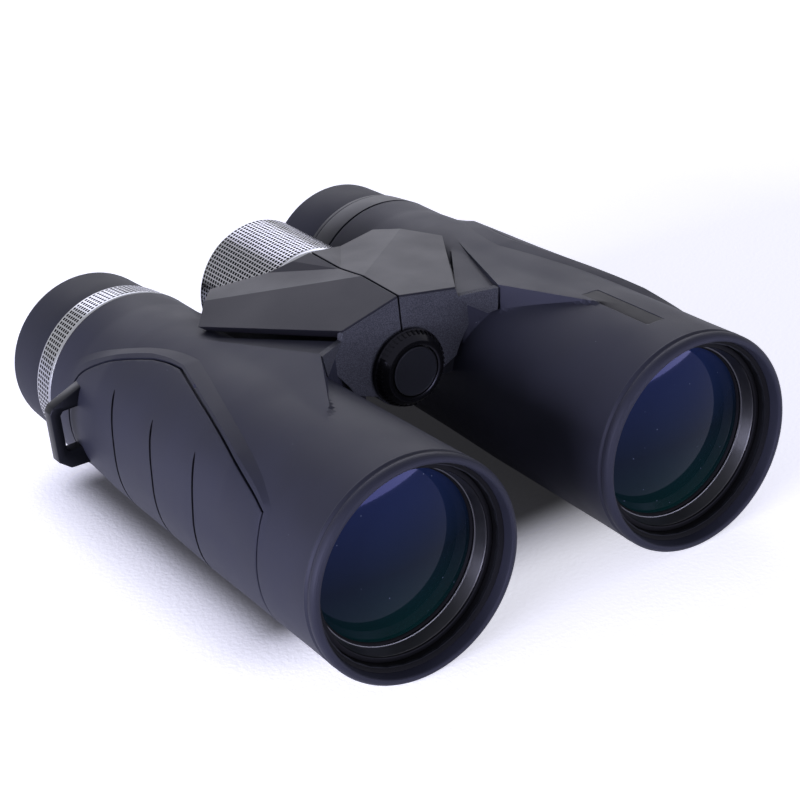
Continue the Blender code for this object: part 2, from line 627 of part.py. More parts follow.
def build_cover(name, side, axis):
    """Half of the faceted bridge cover, and the flat front plate below it."""
    corner = bridge_points()
    names = ("seam_rear", "seam_dip", "seam_crest", "seam_front", "front_corner", "side_rear",
             "rear_lower", "rear_upper")
    bm = bmesh.new()
    top = {key: bm.verts.new(corner[key]) for key in names}
    under = {}
    for key in names:
        x, y, z = corner[key]
        inset = {"side_rear": 0.0012, "rear_lower": 0.0008}.get(key, 0.0)
        drop = {"side_rear": 0.0008}.get(key, COVER_THICKNESS)
        under[key] = bm.verts.new((x - inset, y - inset, z - drop))
    facets = (("seam_rear", "seam_dip", "rear_upper"), ("rear_upper", "seam_dip", "seam_crest", "rear_lower"),
              ("rear_lower", "seam_crest", "side_rear"), ("seam_crest", "front_corner", "side_rear"),
              ("seam_crest", "seam_front", "front_corner"))
    for facet in facets:
        bm.faces.new([top[key] for key in facet])
        bm.faces.new([under[key] for key in reversed(facet)])
    for here, after in zip(names, names[1:] + names[:1]):
        bm.faces.new((top[here], under[here], under[after], top[after]))
    cover = add(f"{name}_bridge_cover", bm, axis, side, "bridge_plastic")
    boss_foot = HINGE_RISE + ARM_ABOVE_HINGE + GAP
    boss_x = HINGE_U + ARM_INNER + COVER_BOSS_RADIUS + 0.001
    for number, y in enumerate((ARM_FRONT + 0.006, ARM_REAR - 0.006), 1):
        boss = add(f"{name}_cover_boss_{number}", box(
            (boss_x - COVER_BOSS_RADIUS, boss_x + COVER_BOSS_RADIUS),
            (y - COVER_BOSS_RADIUS, y + COVER_BOSS_RADIUS), (boss_foot, HINGE_RISE + 0.0140)), axis, side)
        join(cover, boss, "UNION")
    wheel_cut = bpy.data.objects[f"{name}_wheel_clearance"]
    join(cover, wheel_cut)

    seam_top = corner["seam_front"]
    outer_top = corner["front_corner"]
    edge = COVER_THICKNESS + GAP
    barrel = RIM_RADIUS + GAP
    hinge = (HINGE_U, HINGE_RISE)
    outline = [
        (seam_top[0], seam_top[2] - edge), (outer_top[0], outer_top[2] - edge),
        (outer_top[0] + 0.0036, outer_top[2] - edge - 0.0015), *arc(barrel, 128, 155, 6),
        *arc(KNUCKLE_RADIUS, -30, PLATE_LOWER_EDGE, 4, hinge),
        *arc(SLEEVE_RADIUS + GAP, PLATE_LOWER_EDGE, 90 - 2, 14, hinge)]
    outline[-1] = (seam_top[0], outline[-1][1])
    add(f"{name}_front_plate", slab(outline, PLATE_FRONT, PLATE_FRONT + PLATE_THICKNESS),
        axis, side, "bridge_plastic")


def build_lug(name, side, axis):
    """Strap lug: a flat C-shaped bracket whose open side is the barrel's waist."""
    front = BODY_END - LUG_SETBACK
    rear = front + LUG_THICKNESS
    root = WAIST_RADIUS * 0.8
    lug = add(f"{name}_strap_lug", slab([
        (root, LUG_BOTTOM), (LUG_REACH - 0.0030, LUG_BOTTOM + 0.0006), (LUG_REACH, LUG_BOTTOM + 0.0030),
        (LUG_REACH, LUG_TOP - 0.0036), (LUG_REACH - 0.0008, LUG_TOP - 0.0026), (root, LUG_TOP + 0.0012)],
        front, rear), axis, side, "bridge_plastic")
    slot = add(f"{name}_lug_slot", box(
        (root - 0.001, LUG_REACH - LUG_BAR), (front - 0.001, rear + 0.001), (LUG_SLOT_BOTTOM, LUG_SLOT_TOP)),
        axis, side)
    join(lug, slot)
    seat = [(radius + GAP, y) for radius, y in armour_profile()]
    join(lug, add(f"{name}_lug_seat", lathe(on_axis(seat)), axis, side))


def build_hinge(axis):
    """Hinge shaft with the tripod socket in its front end, and the nut that holds the wheel."""
    step = CARRIAGE_SPACE
    bore = SOCKET_RADIUS + GAP
    front = PLATE_FRONT + GAP
    floor = front + SOCKET_LENGTH + GAP
    end = WHEEL_REAR - WHEEL_CAP_THICKNESS - 0.0010
    add("hinge_shaft", lathe([
        (0.0, floor), (bore, floor), (bore, front), (SLEEVE_RADIUS, front), (SLEEVE_RADIUS, step),
        (SHAFT_RADIUS, step), (SHAFT_RADIUS, end), (0.0, end)], 24), axis, 1, "steel")
    add("tripod_socket", lathe([
        (SOCKET_HOLE_RADIUS, front), (SOCKET_RADIUS, front), (SOCKET_RADIUS, front + SOCKET_LENGTH),
        (SOCKET_HOLE_RADIUS, front + SOCKET_LENGTH)], 20), axis, 1, "brass")
    nut_rear = end - 0.0003
    add("shaft_nut", lathe([
        (SHAFT_RADIUS + GAP, nut_rear - SHAFT_NUT_LENGTH), (WHEEL_HUB_RADIUS, nut_rear - SHAFT_NUT_LENGTH),
        (WHEEL_HUB_RADIUS, nut_rear), (SHAFT_RADIUS + GAP, nut_rear)], 16), axis, 1, "steel")
    return nut_rear - SHAFT_NUT_LENGTH


def build_focus_drive(axis, hub_rear):
    """Focus wheel with its end cap, the screw that it turns, and the grooved carriage."""
    bore = SHAFT_RADIUS + GAP
    drum = WHEEL_RADIUS - WHEEL_WALL
    web = WHEEL_FRONT + 0.0025
    add("focus_wheel", lathe([
        (bore, WHEEL_FRONT), (WHEEL_RADIUS, WHEEL_FRONT), (WHEEL_RADIUS, WHEEL_REAR), (drum, WHEEL_REAR),
        (drum, web), (WHEEL_HUB_RADIUS, web), (WHEEL_HUB_RADIUS, hub_rear - GAP), (bore, hub_rear - GAP)]),
        axis, 1, "silver_metal")
    add("focus_wheel_cap", lathe(on_axis([
        (drum - GAP, WHEEL_REAR - WHEEL_CAP_THICKNESS), (drum - GAP, WHEEL_REAR - GAP)])),
        axis, 1, "black_metal")
    screw_front = CARRIAGE_SPACE + GAP
    add("focus_screw", lathe([
        (bore, screw_front), (SCREW_RADIUS, screw_front), (SCREW_RADIUS, WHEEL_FRONT - GAP),
        (bore, WHEEL_FRONT - GAP)], 20), axis, 1, "brass")
    half = CARRIAGE_LENGTH / 2
    groove = GROOVE_WIDTH / 2
    middle = CARRIAGE_MIDDLE
    add("focus_carriage", lathe([
        (SCREW_RADIUS + GAP, middle - half), (CARRIAGE_RADIUS, middle - half),
        (CARRIAGE_RADIUS, middle - groove), (CARRIAGE_RADIUS - CARRIAGE_GROOVE, middle - groove),
        (CARRIAGE_RADIUS - CARRIAGE_GROOVE, middle + groove), (CARRIAGE_RADIUS, middle + groove),
        (CARRIAGE_RADIUS, middle + half), (SCREW_RADIUS + GAP, middle + half)], 20), axis, 1, "brass")


def build_tripod_cap(axis):
    """Screw cap over the tripod socket: a knurled knob, its front disc, and its threaded stud."""
    rear = PLATE_FRONT - CAP_STANDOFF
    front = rear - CAP_LENGTH
    stud_flange = rear - STUD_FLANGE_LENGTH
    add("tripod_cap", lathe([
        (CAP_DISC_RADIUS + GAP, front), (CAP_FRONT_RADIUS, front), (CAP_REAR_RADIUS, rear - 0.0012),
        (CAP_REAR_RADIUS, rear), (STUD_FLANGE_RADIUS + GAP, rear),
        (STUD_FLANGE_RADIUS + GAP, stud_flange - GAP),
        (STUD_FLANGE_RADIUS - 0.0010, stud_flange - GAP),
        (STUD_FLANGE_RADIUS - 0.0010, front + CAP_DISC_DEPTH + GAP),
        (CAP_DISC_RADIUS + GAP, front + CAP_DISC_DEPTH + GAP)]), axis, 1, "cap_plastic")
    add("tripod_cap_disc", lathe(on_axis([
        (CAP_DISC_RADIUS, front), (CAP_DISC_RADIUS, front + CAP_DISC_DEPTH)]), 24),
        axis, 1, "cap_plastic")
    stud = SOCKET_HOLE_RADIUS - GAP
    add("tripod_cap_stud", lathe(on_axis([
        (STUD_FLANGE_RADIUS, stud_flange), (STUD_FLANGE_RADIUS, rear),
        (stud, rear), (stud, rear + STUD_LENGTH)]), 16), axis, 1, "steel")


def main():
    clear_scene()
    hinge_axis = pivot("hinge_axis", (0, 0, HINGE_HEIGHT))
    left_axis = pivot("left_axis", (SPACING / 2, 0, RIM_RADIUS))
    right_axis = pivot("right_axis", (-SPACING / 2, 0, -HINGE_RISE), hinge_axis)
    for name, side, axis in (("left", 1, left_axis), ("right", -1, right_axis)):
        armour = build_armour(name, side, axis)
        if side > 0:
            badge_front = FRONT + BADGE_FRONT_SETBACK
            build_inlay("left_badge", armour, (badge_front, badge_front + BADGE_LENGTH),
                        BADGE_DEPTH, BADGE_ANGLES, side, axis, "cap_plastic")
        build_housing(name, side, axis)
        build_objective(name, side, axis)
        build_focus_cell(name, side, axis)
        build_prisms(name, side, axis)
        build_eyepiece(name, side, axis)
        build_eyecup(name, side, axis)
        build_cover(name, side, axis)
        build_lug(name, side, axis)
    hub_rear = build_hinge(hinge_axis)
    build_focus_drive(hinge_axis, hub_rear)
    build_tripod_cap(hinge_axis)


main()
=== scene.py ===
"""Binoculars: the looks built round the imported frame.

Pieces are shaped in millimetres in the row frame: X across, Y from objectives to eyepieces, Z up.
"""

import json
import math

import bmesh
import bpy
import numpy as np
from mathutils import Matrix, Vector

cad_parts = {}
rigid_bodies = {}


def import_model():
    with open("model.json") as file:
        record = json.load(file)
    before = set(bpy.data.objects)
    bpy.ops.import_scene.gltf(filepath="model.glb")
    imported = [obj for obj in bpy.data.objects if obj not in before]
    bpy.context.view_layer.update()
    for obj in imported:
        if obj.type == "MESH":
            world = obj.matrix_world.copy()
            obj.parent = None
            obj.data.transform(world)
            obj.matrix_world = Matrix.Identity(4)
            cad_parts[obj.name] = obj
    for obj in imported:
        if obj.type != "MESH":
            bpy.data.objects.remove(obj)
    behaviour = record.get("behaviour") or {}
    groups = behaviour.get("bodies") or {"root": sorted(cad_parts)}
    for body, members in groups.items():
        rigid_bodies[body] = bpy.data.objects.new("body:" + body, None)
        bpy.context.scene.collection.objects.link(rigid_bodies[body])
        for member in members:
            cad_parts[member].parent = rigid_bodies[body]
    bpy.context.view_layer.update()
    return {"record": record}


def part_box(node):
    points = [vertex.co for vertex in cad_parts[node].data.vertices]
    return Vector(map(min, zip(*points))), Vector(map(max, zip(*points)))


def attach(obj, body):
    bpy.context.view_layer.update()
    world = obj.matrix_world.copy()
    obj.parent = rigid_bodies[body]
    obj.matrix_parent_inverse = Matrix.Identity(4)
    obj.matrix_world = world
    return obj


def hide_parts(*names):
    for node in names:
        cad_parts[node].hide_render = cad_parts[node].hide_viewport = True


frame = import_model()

# Camera and studio. A short telephoto looks down along the barrels from the front left.
AIM = Vector((22.501, 23.448, 7.455)) / 1000
AZIMUTH, ELEVATION, ROLL = (math.radians(angle) for angle in (-31.798, 27.393, -6.452))
DISTANCE = 0.588851

add_to_scene = bpy.context.scene.collection.objects.link
back = Vector((math.sin(AZIMUTH) * math.cos(ELEVATION), -math.cos(AZIMUTH) * math.cos(ELEVATION),
               math.sin(ELEVATION)))
level = Vector((math.cos(AZIMUTH), math.sin(AZIMUTH), 0))
upright = back.cross(level)
across = level * math.cos(ROLL) + upright * math.sin(ROLL)
upward = upright * math.cos(ROLL) - level * math.sin(ROLL)
camera = bpy.data.objects.new("camera", bpy.data.cameras.new("camera"))
camera.data.sensor_width = 36
camera.data.lens = 102.12
camera.data.clip_start = 0.01
facing = Matrix((across, upward, back)).transposed().to_4x4()
camera.matrix_world = Matrix.Translation(AIM + back * DISTANCE) @ facing
add_to_scene(camera)
bpy.context.scene.camera = camera
bpy.context.scene.view_settings.view_transform = "Standard"


def srgb(code, alpha=1.0):
    """Linear colour of an sRGB hex value."""
    parts = [int(code[i:i + 2], 16) / 255 for i in (0, 2, 4)]
    return (*(p / 12.92 if p <= 0.04045 else ((p + 0.055) / 1.055) ** 2.4 for p in parts), alpha)


def node(tree, kind, settings=None, **links):
    """A node with its settings; a link's name is the socket's, with spaces as underscores."""
    made = tree.nodes.new(kind)
    for key, value in (settings or {}).items():
        setattr(made, key, value)
    for key, value in links.items():
        name = key.replace("_", " ")
        socket = made.inputs[int(name[1:])] if name[0] == "i" and name[1:].isdigit() else made.inputs[name]
        if isinstance(value, bpy.types.NodeSocket):
            tree.links.new(value, socket)
        else:
            socket.default_value = value
    return made


# The set: a sheet of white paper, white all round it, and three soft boxes. The lamps cast the object's
# shadow on the paper, and painted shade is added under the object, where the paper's colour is darkened and
# its glow drops away; where nothing shades it, it goes to clean white.
def soft_box(name, place, aim, width, height, power, tint="ffffff"):
    light = bpy.data.lights.new(name, "AREA")
    light.shape = "RECTANGLE"
    light.size, light.size_y = width, height
    light.energy = power
    light.color = srgb(tint)[:3]
    lamp = bpy.data.objects.new(name, light)
    turn = (Vector(aim) - Vector(place)).to_track_quat("-Z", "Y").to_matrix().to_4x4()
    lamp.matrix_world = Matrix.Translation(place) @ turn
    add_to_scene(lamp)


def direct_ray(tree):
    """One for a ray from the camera, a reflection or a refraction; nothing for light that spreads."""
    rays = node(tree, "ShaderNodeLightPath").outputs
    seen = node(tree, "ShaderNodeMath", {"operation": "MAXIMUM"}, i0=rays["Is Camera Ray"],
                i1=rays["Is Glossy Ray"]).outputs[0]
    return node(tree, "ShaderNodeMath", {"operation": "MAXIMUM"}, i0=seen,
                i1=rays["Is Transmission Ray"]).outputs[0]


soft_box("box_rear_right", (0.62, 1.22, 0.66), (0, 0, 0.03), 1.3, 0.8, 8.5, "f0f0ff")
soft_box("strip_front", (0.60, -1.30, 0.125), (0.60, 0, 0.12), 2.2, 0.25, 23, "ededff")
soft_box("box_left", (-1.25, -0.20, 0.26), (0, 0, 0.03), 1.0, 0.45, 33, "ededff")

world = bpy.data.worlds.new("studio")
bpy.context.scene.world = world
world.use_nodes = True
sky = world.node_tree
sky.nodes.clear()
room = node(sky, "ShaderNodeBackground", Color=srgb("f0f0ff"), Strength=0.22)
white = node(sky, "ShaderNodeBackground", Color=srgb("ffffff"), Strength=1.0)
mixed = node(sky, "ShaderNodeMixShader", i0=direct_ray(sky), i1=room.outputs[0], i2=white.outputs[0])
node(sky, "ShaderNodeOutputWorld", Surface=mixed.outputs[0])

paper = bpy.data.materials.new("white_paper")
paper.use_nodes = True
tree = paper.node_tree
tree.nodes.clear()
place = node(tree, "ShaderNodeTexCoord").outputs["Object"]
fibre = node(tree, "ShaderNodeTexNoise", Vector=place, Scale=900.0, Detail=3.0).outputs["Fac"]
tooth = node(tree, "ShaderNodeBump", Strength=0.25, Distance=0.0004, Height=fibre).outputs[0]
# Painted shade: a rectangle under the object, in metres, and how far its edge spreads.
PAINTED_SHADE_CENTRE, PAINTED_SHADE_HALF = (0, 0.010, 0), (0.0505, 0.044, 0)
GLOW_SPREAD, PAINTED_SHADE_SPREAD = 0.026, 0.012
reach = place
for step, value in (("SUBTRACT", PAINTED_SHADE_CENTRE), ("ABSOLUTE", (0, 0, 0)), ("SUBTRACT", PAINTED_SHADE_HALF),
                    ("MAXIMUM", (0, 0, 0))):
    reach = node(tree, "ShaderNodeVectorMath", {"operation": step}, i0=reach, i1=value).outputs[0]
reach = node(tree, "ShaderNodeVectorMath", {"operation": "LENGTH"}, i0=reach).outputs["Value"]
# Painted shade: towards the rectangle the glow drops from 0.62 to 0.02, and the colour's factor from 1 to
# 0.12.
glow_with_painted_shade, painted_shade = (
    node(tree, "ShaderNodeMapRange", {"interpolation_type": "SMOOTHSTEP"}, Value=reach, i1=0.0, i2=spread,
         i3=under, i4=clear).outputs[0]
    for spread, under, clear in ((GLOW_SPREAD, 0.02, 0.62), (PAINTED_SHADE_SPREAD, 0.12, 1.0)))
# Painted shade: the paper's colour is multiplied down under the object.
tone = node(tree, "ShaderNodeMix", {"data_type": "RGBA", "blend_type": "MULTIPLY"}, i0=1.0)
tone.inputs[6].default_value = srgb("f0f0f8")
tree.links.new(painted_shade, tone.inputs[7])
sheet = node(tree, "ShaderNodeBsdfDiffuse", Color=tone.outputs[2], Normal=tooth)
glow = node(tree, "ShaderNodeEmission", Color=srgb("f6f6ff"), Strength=glow_with_painted_shade)
dark = node(tree, "ShaderNodeEmission", Color=(0, 0, 0, 1), Strength=0.0)
lift = node(tree, "ShaderNodeMixShader", i0=direct_ray(tree), i1=dark.outputs[0], i2=glow.outputs[0])
total = node(tree, "ShaderNodeAddShader", i0=sheet.outputs[0], i1=lift.outputs[0])
node(tree, "ShaderNodeOutputMaterial", Surface=total.outputs[0])

bm = bmesh.new()
bmesh.ops.create_grid(bm, x_segments=4, y_segments=4, size=3.0)
mesh = bpy.data.meshes.new("paper_floor")
bm.to_mesh(mesh)
bm.free()
mesh.materials.append(paper)
floor = bpy.data.objects.new("paper_floor", mesh)
add_to_scene(floor)


# Rubber armour. Each barrel wears a sleeve of soft-touch thermoplastic rubber, injection moulded
# over the housing: a plain front tube, a raised border round the grip pad, and a folded fin beside
# the bridge. It is laid out flat here, scored along its edges, given its heights and then wrapped.
def span(name):
    """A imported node's lowest and highest corner in millimetres."""
    low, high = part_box(name)
    return low * 1000, high * 1000


low, high = span("left_objective_cell")
BARREL_X, BARREL_Z = (low.x + high.x) / 2, (low.z + high.z) / 2
low, high = span("focus_wheel")
HINGE_Z = (low.z + high.z) / 2
WHEEL_RADIUS = (high.x - low.x) / 2
WHEEL_FRONT, WHEEL_REAR = low.y, high.y
low, high = span("left_armour")
LIP, BODY_END = low.y, high.y

SIDES = ((1, "left"), (-1, "right"))
SHEET_RADIUS = 26.0      # the flat sheet's width is measured at this radius
CELL = 1.0
TURN = (-140.0, 220.0)   # the sheet's two joined edges, in degrees from the outer side

# Radius of the plain barrel, and how far the pad's border rises from it: (behind the lip, mm).
BARREL_LINE = ((0, 26.5), (4, 26.45), (13, 26.2), (26, 26.0), (38, 25.75), (55, 25.5), (75, 24.8), (88, 24.5),
               (101, 24.1), (108, 23.6), (116, 23.1), (126, 23.1))
BORDER_RISE = ((22, 0.3), (26, 0.7), (39, 1.7), (46, 1.6), (56, 1.35), (65, 1.2), (85, 1.05), (102, 1.05),
               (110, 0.6), (117, 0.1), (120, 0.0))
BORDER_FADE = (6, 44)    # degrees between which the border rises from nothing to its full height

# Edges on the sheet as (behind the lip, degrees round); runs meet in a corner.
SEAM = [
    [(24.0, 32.0), (29, 37.0), (42, 46.6), (53.5, 53.8), (65.5, 60.5), (78.0, 67.8)],
    [(78.0, 67.8), (83.1, 67.0), (88.7, 64.4)],
    [(88.7, 64.4), (93.5, 60.0), (98.5, 55.0), (104.5, 48.2), (110, 40.2), (113.2, 33.5), (114.6, 26.0)],
    [(114.6, 26.0), (115.2, 12), (115.2, -4), (114.2, -18), (111, -32)],
    [(111, -32), (104, -46), (94, -58), (84, -64)],
    [(84, -64), (66, -60), (44, -50), (27, -40)],
    [(27, -40), (24.8, -26), (23.8, -12), (23.4, 4), (23.5, 19), (24.0, 32.0)],
]
BORDER_TOP = [
    [(24.2, 35.6), (30, 41.6), (43.3, 50.6), (53.5, 56.6), (65.4, 63.3), (78.4, 70.8)],
    [(78.4, 70.8), (84.9, 70.0), (91.2, 67.0)],
    [(91.2, 67.0), (96.9, 61.4), (102.6, 55.2), (108.6, 48.2), (113.6, 41.0), (117.5, 30.0)],
    [(117.5, 30.0), (119, 4.0)], [(119, 4.0), (22.4, 4.0)], [(22.4, 4.0), (22.6, 20), (24.2, 35.6)],
]
BORDER_FOOT = [
    [(22.0, 36.6), (30, 46.4), (40, 54.4), (50, 61.2), (57.5, 66.0), (64.8, 70.8), (72, 75.6), (78.0, 79.4)],
    [(78.0, 79.4), (84.0, 78.2), (90.0, 74.8)],
    [(90.0, 74.8), (94.8, 70.6), (101.0, 63.6), (109.2, 54.4), (114.5, 46.6), (118.4, 38), (120.5, 24)],
    [(120.5, 24), (121, 2.0)], [(121, 2.0), (20.8, 2.0)], [(20.8, 2.0), (20.6, 20), (22.0, 36.6)],
]
GRIP_GROOVES = [
    [(94.2, 40.0), (92.5, 30), (91.0, 20), (89.8, 9), (89.4, -3), (90.0, -18), (91.6, -34), (94, -46)],
    [(74.4, 38.5), (73.2, 30), (71.8, 21), (70.6, 10), (70.3, -2), (70.8, -16), (72.4, -32), (75, -48)],
    [(53.4, 38.0), (52.4, 31), (51.5, 23), (51.0, 13), (51.0, 2), (51.6, -11), (53.4, -26), (56.4, -42)],
]
SEAM_WIDTH = 0.55
PAD_SEAT, PAD_FOOT = -1.1, -1.05   # floor of the seat in the armour, and the pad's underside
PAD_STRETCH = (22.0, 118.0)
GROOVE_WIDTH, GROOVE_DEPTH = 0.85, 0.95

# Corners of the fin and of the ledge under the bridge cover, on the left barrel in the row frame.
FIN_REAR = Vector((39.0, 91.2, 50.5))
FIN_PEAK = Vector((25.1, 53.8, 54.15))
FIN_TOE = Vector((36.0, 33.7, 52.9))
FIN_HEEL = Vector((24.1, 53.8, 48.1))
LEDGE_OUTER = Vector((25.1, 54.6, 52.5))
LEDGE_INNER = Vector((16.8, 59.4, 52.4))
LEDGE_REAR = Vector((37.6, 91.0, 50.2))
FIN_CRISP, FIN_SOFT = 0.02, 0.5    # how far the fin melts into the barrel, at its toe and behind
WHEEL_GAP, WHEEL_AHEAD = 0.9, 0.8  # room kept clear round the focus wheel


def on_sheet(behind, degrees):
    return Vector((math.radians(degrees) * SHEET_RADIUS, behind))


def drawn(runs, step=1.3, closed=True):
    """A smooth line through each run's stations, with a corner where two runs meet."""
    line = []
    for run in runs:
        knots = [on_sheet(*station) for station in run]
        for i in range(len(knots) - 1):
            p0, p1, p2, p3 = (knots[min(max(i + k, 0), len(knots) - 1)] for k in (-1, 0, 1, 2))
            count = max(1, round((p2 - p1).length / step))
            for k in range(count):
                t = k / count
                line.append(0.5 * (2 * p1 + (p2 - p0) * t + (2 * p0 - 5 * p1 + 4 * p2 - p3) * t ** 2
                                   + (3 * p1 - p0 - 3 * p2 + p3) * t ** 3))
    if not closed:
        line.append(on_sheet(*runs[-1][-1]))
    return line


def beside(line, distance, closed=True):
    """The line moved sideways; outwards for a closed one that is drawn round its shape."""
    count = len(line)
    moved = []
    for i, point in enumerate(line):
        before = line[i - 1] if closed or i else point
        after = line[(i + 1) % count] if closed or i < count - 1 else point
        way_in, way_out = (point - before), (after - point)
        way_in, way_out = (way_in or way_out).normalized(), (way_out or way_in).normalized()
        side = Vector((-(way_in + way_out).y, (way_in + way_out).x)).normalized()
        corner = max(0.4, side.dot(Vector((-way_out.y, way_out.x))))
        reach = distance[i] if isinstance(distance, list) else distance
        moved.append(point + side * reach / corner)
    return moved


def pointed(centre, width):
    """Outline of a groove along a line, which runs out to a point at both ends."""
    lengths = [0.0]
    for here, after in zip(centre, centre[1:]):
        lengths.append(lengths[-1] + (after - here).length)
    half = [width / 2 * min(1, max(0.02, min(at, lengths[-1] - at) / 2.2) ** 0.5) for at in lengths]
    left = beside(centre, half, closed=False)
    right = beside(centre, [-h for h in half], closed=False)
    return left + right[::-1]


def depth_in(points, loop):
    """How far each flat point lies outside a closed line; less than nothing is inside it."""
    best = np.full(len(points), 1e9)
    inside = np.zeros(len(points), bool)
    corners = np.array([tuple(p) for p in loop])
    for a, b in zip(corners, np.roll(corners, -1, axis=0)):
        along = b - a
        t = np.clip(((points - a) @ along) / max(along @ along, 1e-12), 0, 1)
        best = np.minimum(best, np.hypot(*(points - a - t[:, None] * along).T))
        crosses = (a[1] > points[:, 1]) != (b[1] > points[:, 1])
        inside ^= crosses & (points[:, 0] < a[0] + (points[:, 1] - a[1]) * along[0] / (along[1] or 1e-12))
    return np.where(inside, -best, best)


class Sheet:
    """A flat sheet of square cells, which keeps its faces by cell so that a line can be scored in."""

    def __init__(self, start, end):
        self.bm = bmesh.new()
        self.low = on_sheet(start, TURN[0])
        size = on_sheet(end, TURN[1]) - self.low
        self.columns, self.rows = round(size.x / CELL), round(size.y / CELL)
        self.step = Vector((size.x / self.columns, size.y / self.rows))
        bmesh.ops.create_grid(self.bm, x_segments=self.columns, y_segments=self.rows, size=0.5)
        bmesh.ops.translate(self.bm, vec=(0.5, 0.5, 0), verts=self.bm.verts)
        bmesh.ops.scale(self.bm, vec=(size.x, size.y, 1), verts=self.bm.verts)
        bmesh.ops.translate(self.bm, vec=(*self.low, 0), verts=self.bm.verts)
        self.faces = {}
        for face in self.bm.faces:
            self.faces.setdefault(self.cell(face.calc_center_median()), []).append(face)

    def cell(self, point):
        return int((point.x - self.low.x) / self.step.x), int((point.y - self.low.y) / self.step.y)

    def score(self, line, closed=True):
        """Cuts each stretch of the line into the cells that it crosses."""
        for a, b in zip(line, line[1:] + line[:1] if closed else line[1:]):
            along = b - a
            if along.length < 1e-6:
                continue
            count = max(2, round(along.length / 0.15))
            cells = {self.cell(a + along * k / count) for k in range(count + 1)}
            faces = {face for cell in cells for face in self.faces.get(cell, ())}
            geom = faces | {part for face in faces for part in (*face.verts, *face.edges)}
            cut = bmesh.ops.bisect_plane(self.bm, geom=list(geom), dist=0.02, plane_co=(*a, 0),
                                         plane_no=(-along.y, along.x, 0))
            for cell in cells:
                self.faces[cell] = []
            for item in cut["geom"]:
                if isinstance(item, bmesh.types.BMFace):
                    self.faces.setdefault(self.cell(item.calc_center_median()), []).append(item)


def half_space(a, b, c, within):
    """The side of the plane through three points that holds a fourth, about the barrel's axis."""
    a, b, c, within = (Vector((p.x - BARREL_X, p.y, p.z - BARREL_Z)) for p in (a, b, c, within))
    normal = (b - a).cross(c - a).normalized()
    if normal.dot(within - a) > 0:
        normal = -normal
    return normal, normal.dot(a)


def block_radius(behind, turn, sides):
    """Radius at which a line from the axis leaves a block with flat sides; very low where it misses."""
    upper, lower = np.full(len(behind), 1e3), np.full(len(behind), -1e3)
    for normal, offset in sides:
        slope = normal.x * np.cos(turn) + normal.z * np.sin(turn)
        room = offset - normal.y * behind
        limit = room / np.where(np.abs(slope) < 1e-9, 1e-9, slope)
        upper = np.where(slope > 0, np.minimum(upper, limit), upper)
        lower = np.where(slope <= 0, np.maximum(lower, limit), lower)
    return np.where(upper > lower, upper, -1e3)


UP = Vector((0, 0, 10))
OUTWARD = Vector((4, 0, 0))
ABOVE_AXIS = (Vector((0, 0, -1)), -4.0)
fin_middle = (FIN_REAR + FIN_PEAK + FIN_TOE) / 3 - UP
FIN_SIDES = [
    half_space(FIN_REAR, FIN_PEAK, FIN_TOE, fin_middle),
    half_space(FIN_TOE, FIN_PEAK, FIN_HEEL, fin_middle + Vector((0, 4, 0))),
    half_space(FIN_REAR, FIN_PEAK, FIN_PEAK + UP, fin_middle),
    half_space(FIN_REAR + OUTWARD, FIN_TOE + OUTWARD, FIN_TOE + OUTWARD + UP, fin_middle),
    ABOVE_AXIS,
]
ledge_middle = (LEDGE_REAR + LEDGE_INNER + LEDGE_OUTER) / 3 - UP
under_fin = Vector((0.7, 0, 0))
LEDGE_SIDES = [
    half_space(LEDGE_REAR, LEDGE_INNER, LEDGE_OUTER, ledge_middle),
    half_space(LEDGE_REAR, LEDGE_INNER, LEDGE_INNER + UP, ledge_middle),
    half_space(LEDGE_OUTER, LEDGE_INNER, LEDGE_INNER + UP, ledge_middle),
    half_space(FIN_REAR + under_fin, FIN_PEAK + under_fin, FIN_PEAK + UP + under_fin, ledge_middle),
    ABOVE_AXIS,
]


def round_point(point):
    """A point of the left barrel on the flat sheet."""
    return on_sheet(point.y, math.degrees(math.atan2(point.z - BARREL_Z, point.x - BARREL_X)))


def straight(a, b, steps=24):
    """A straight edge between two points in space, as the curve that it makes on the sheet."""
    return [round_point(a.lerp(b, k / steps)) for k in range(steps + 1)]


seam = drawn(SEAM)
if sum(a.cross(b) for a, b in zip(seam, seam[1:] + seam[:1])) > 0:
    seam.reverse()
border_top, border_foot = drawn(BORDER_TOP), drawn(BORDER_FOOT)
grooves = [pointed(drawn([run], 1.0, closed=False), GROOVE_WIDTH) for run in GRIP_GROOVES]
seam_outer = beside(seam, SEAM_WIDTH)


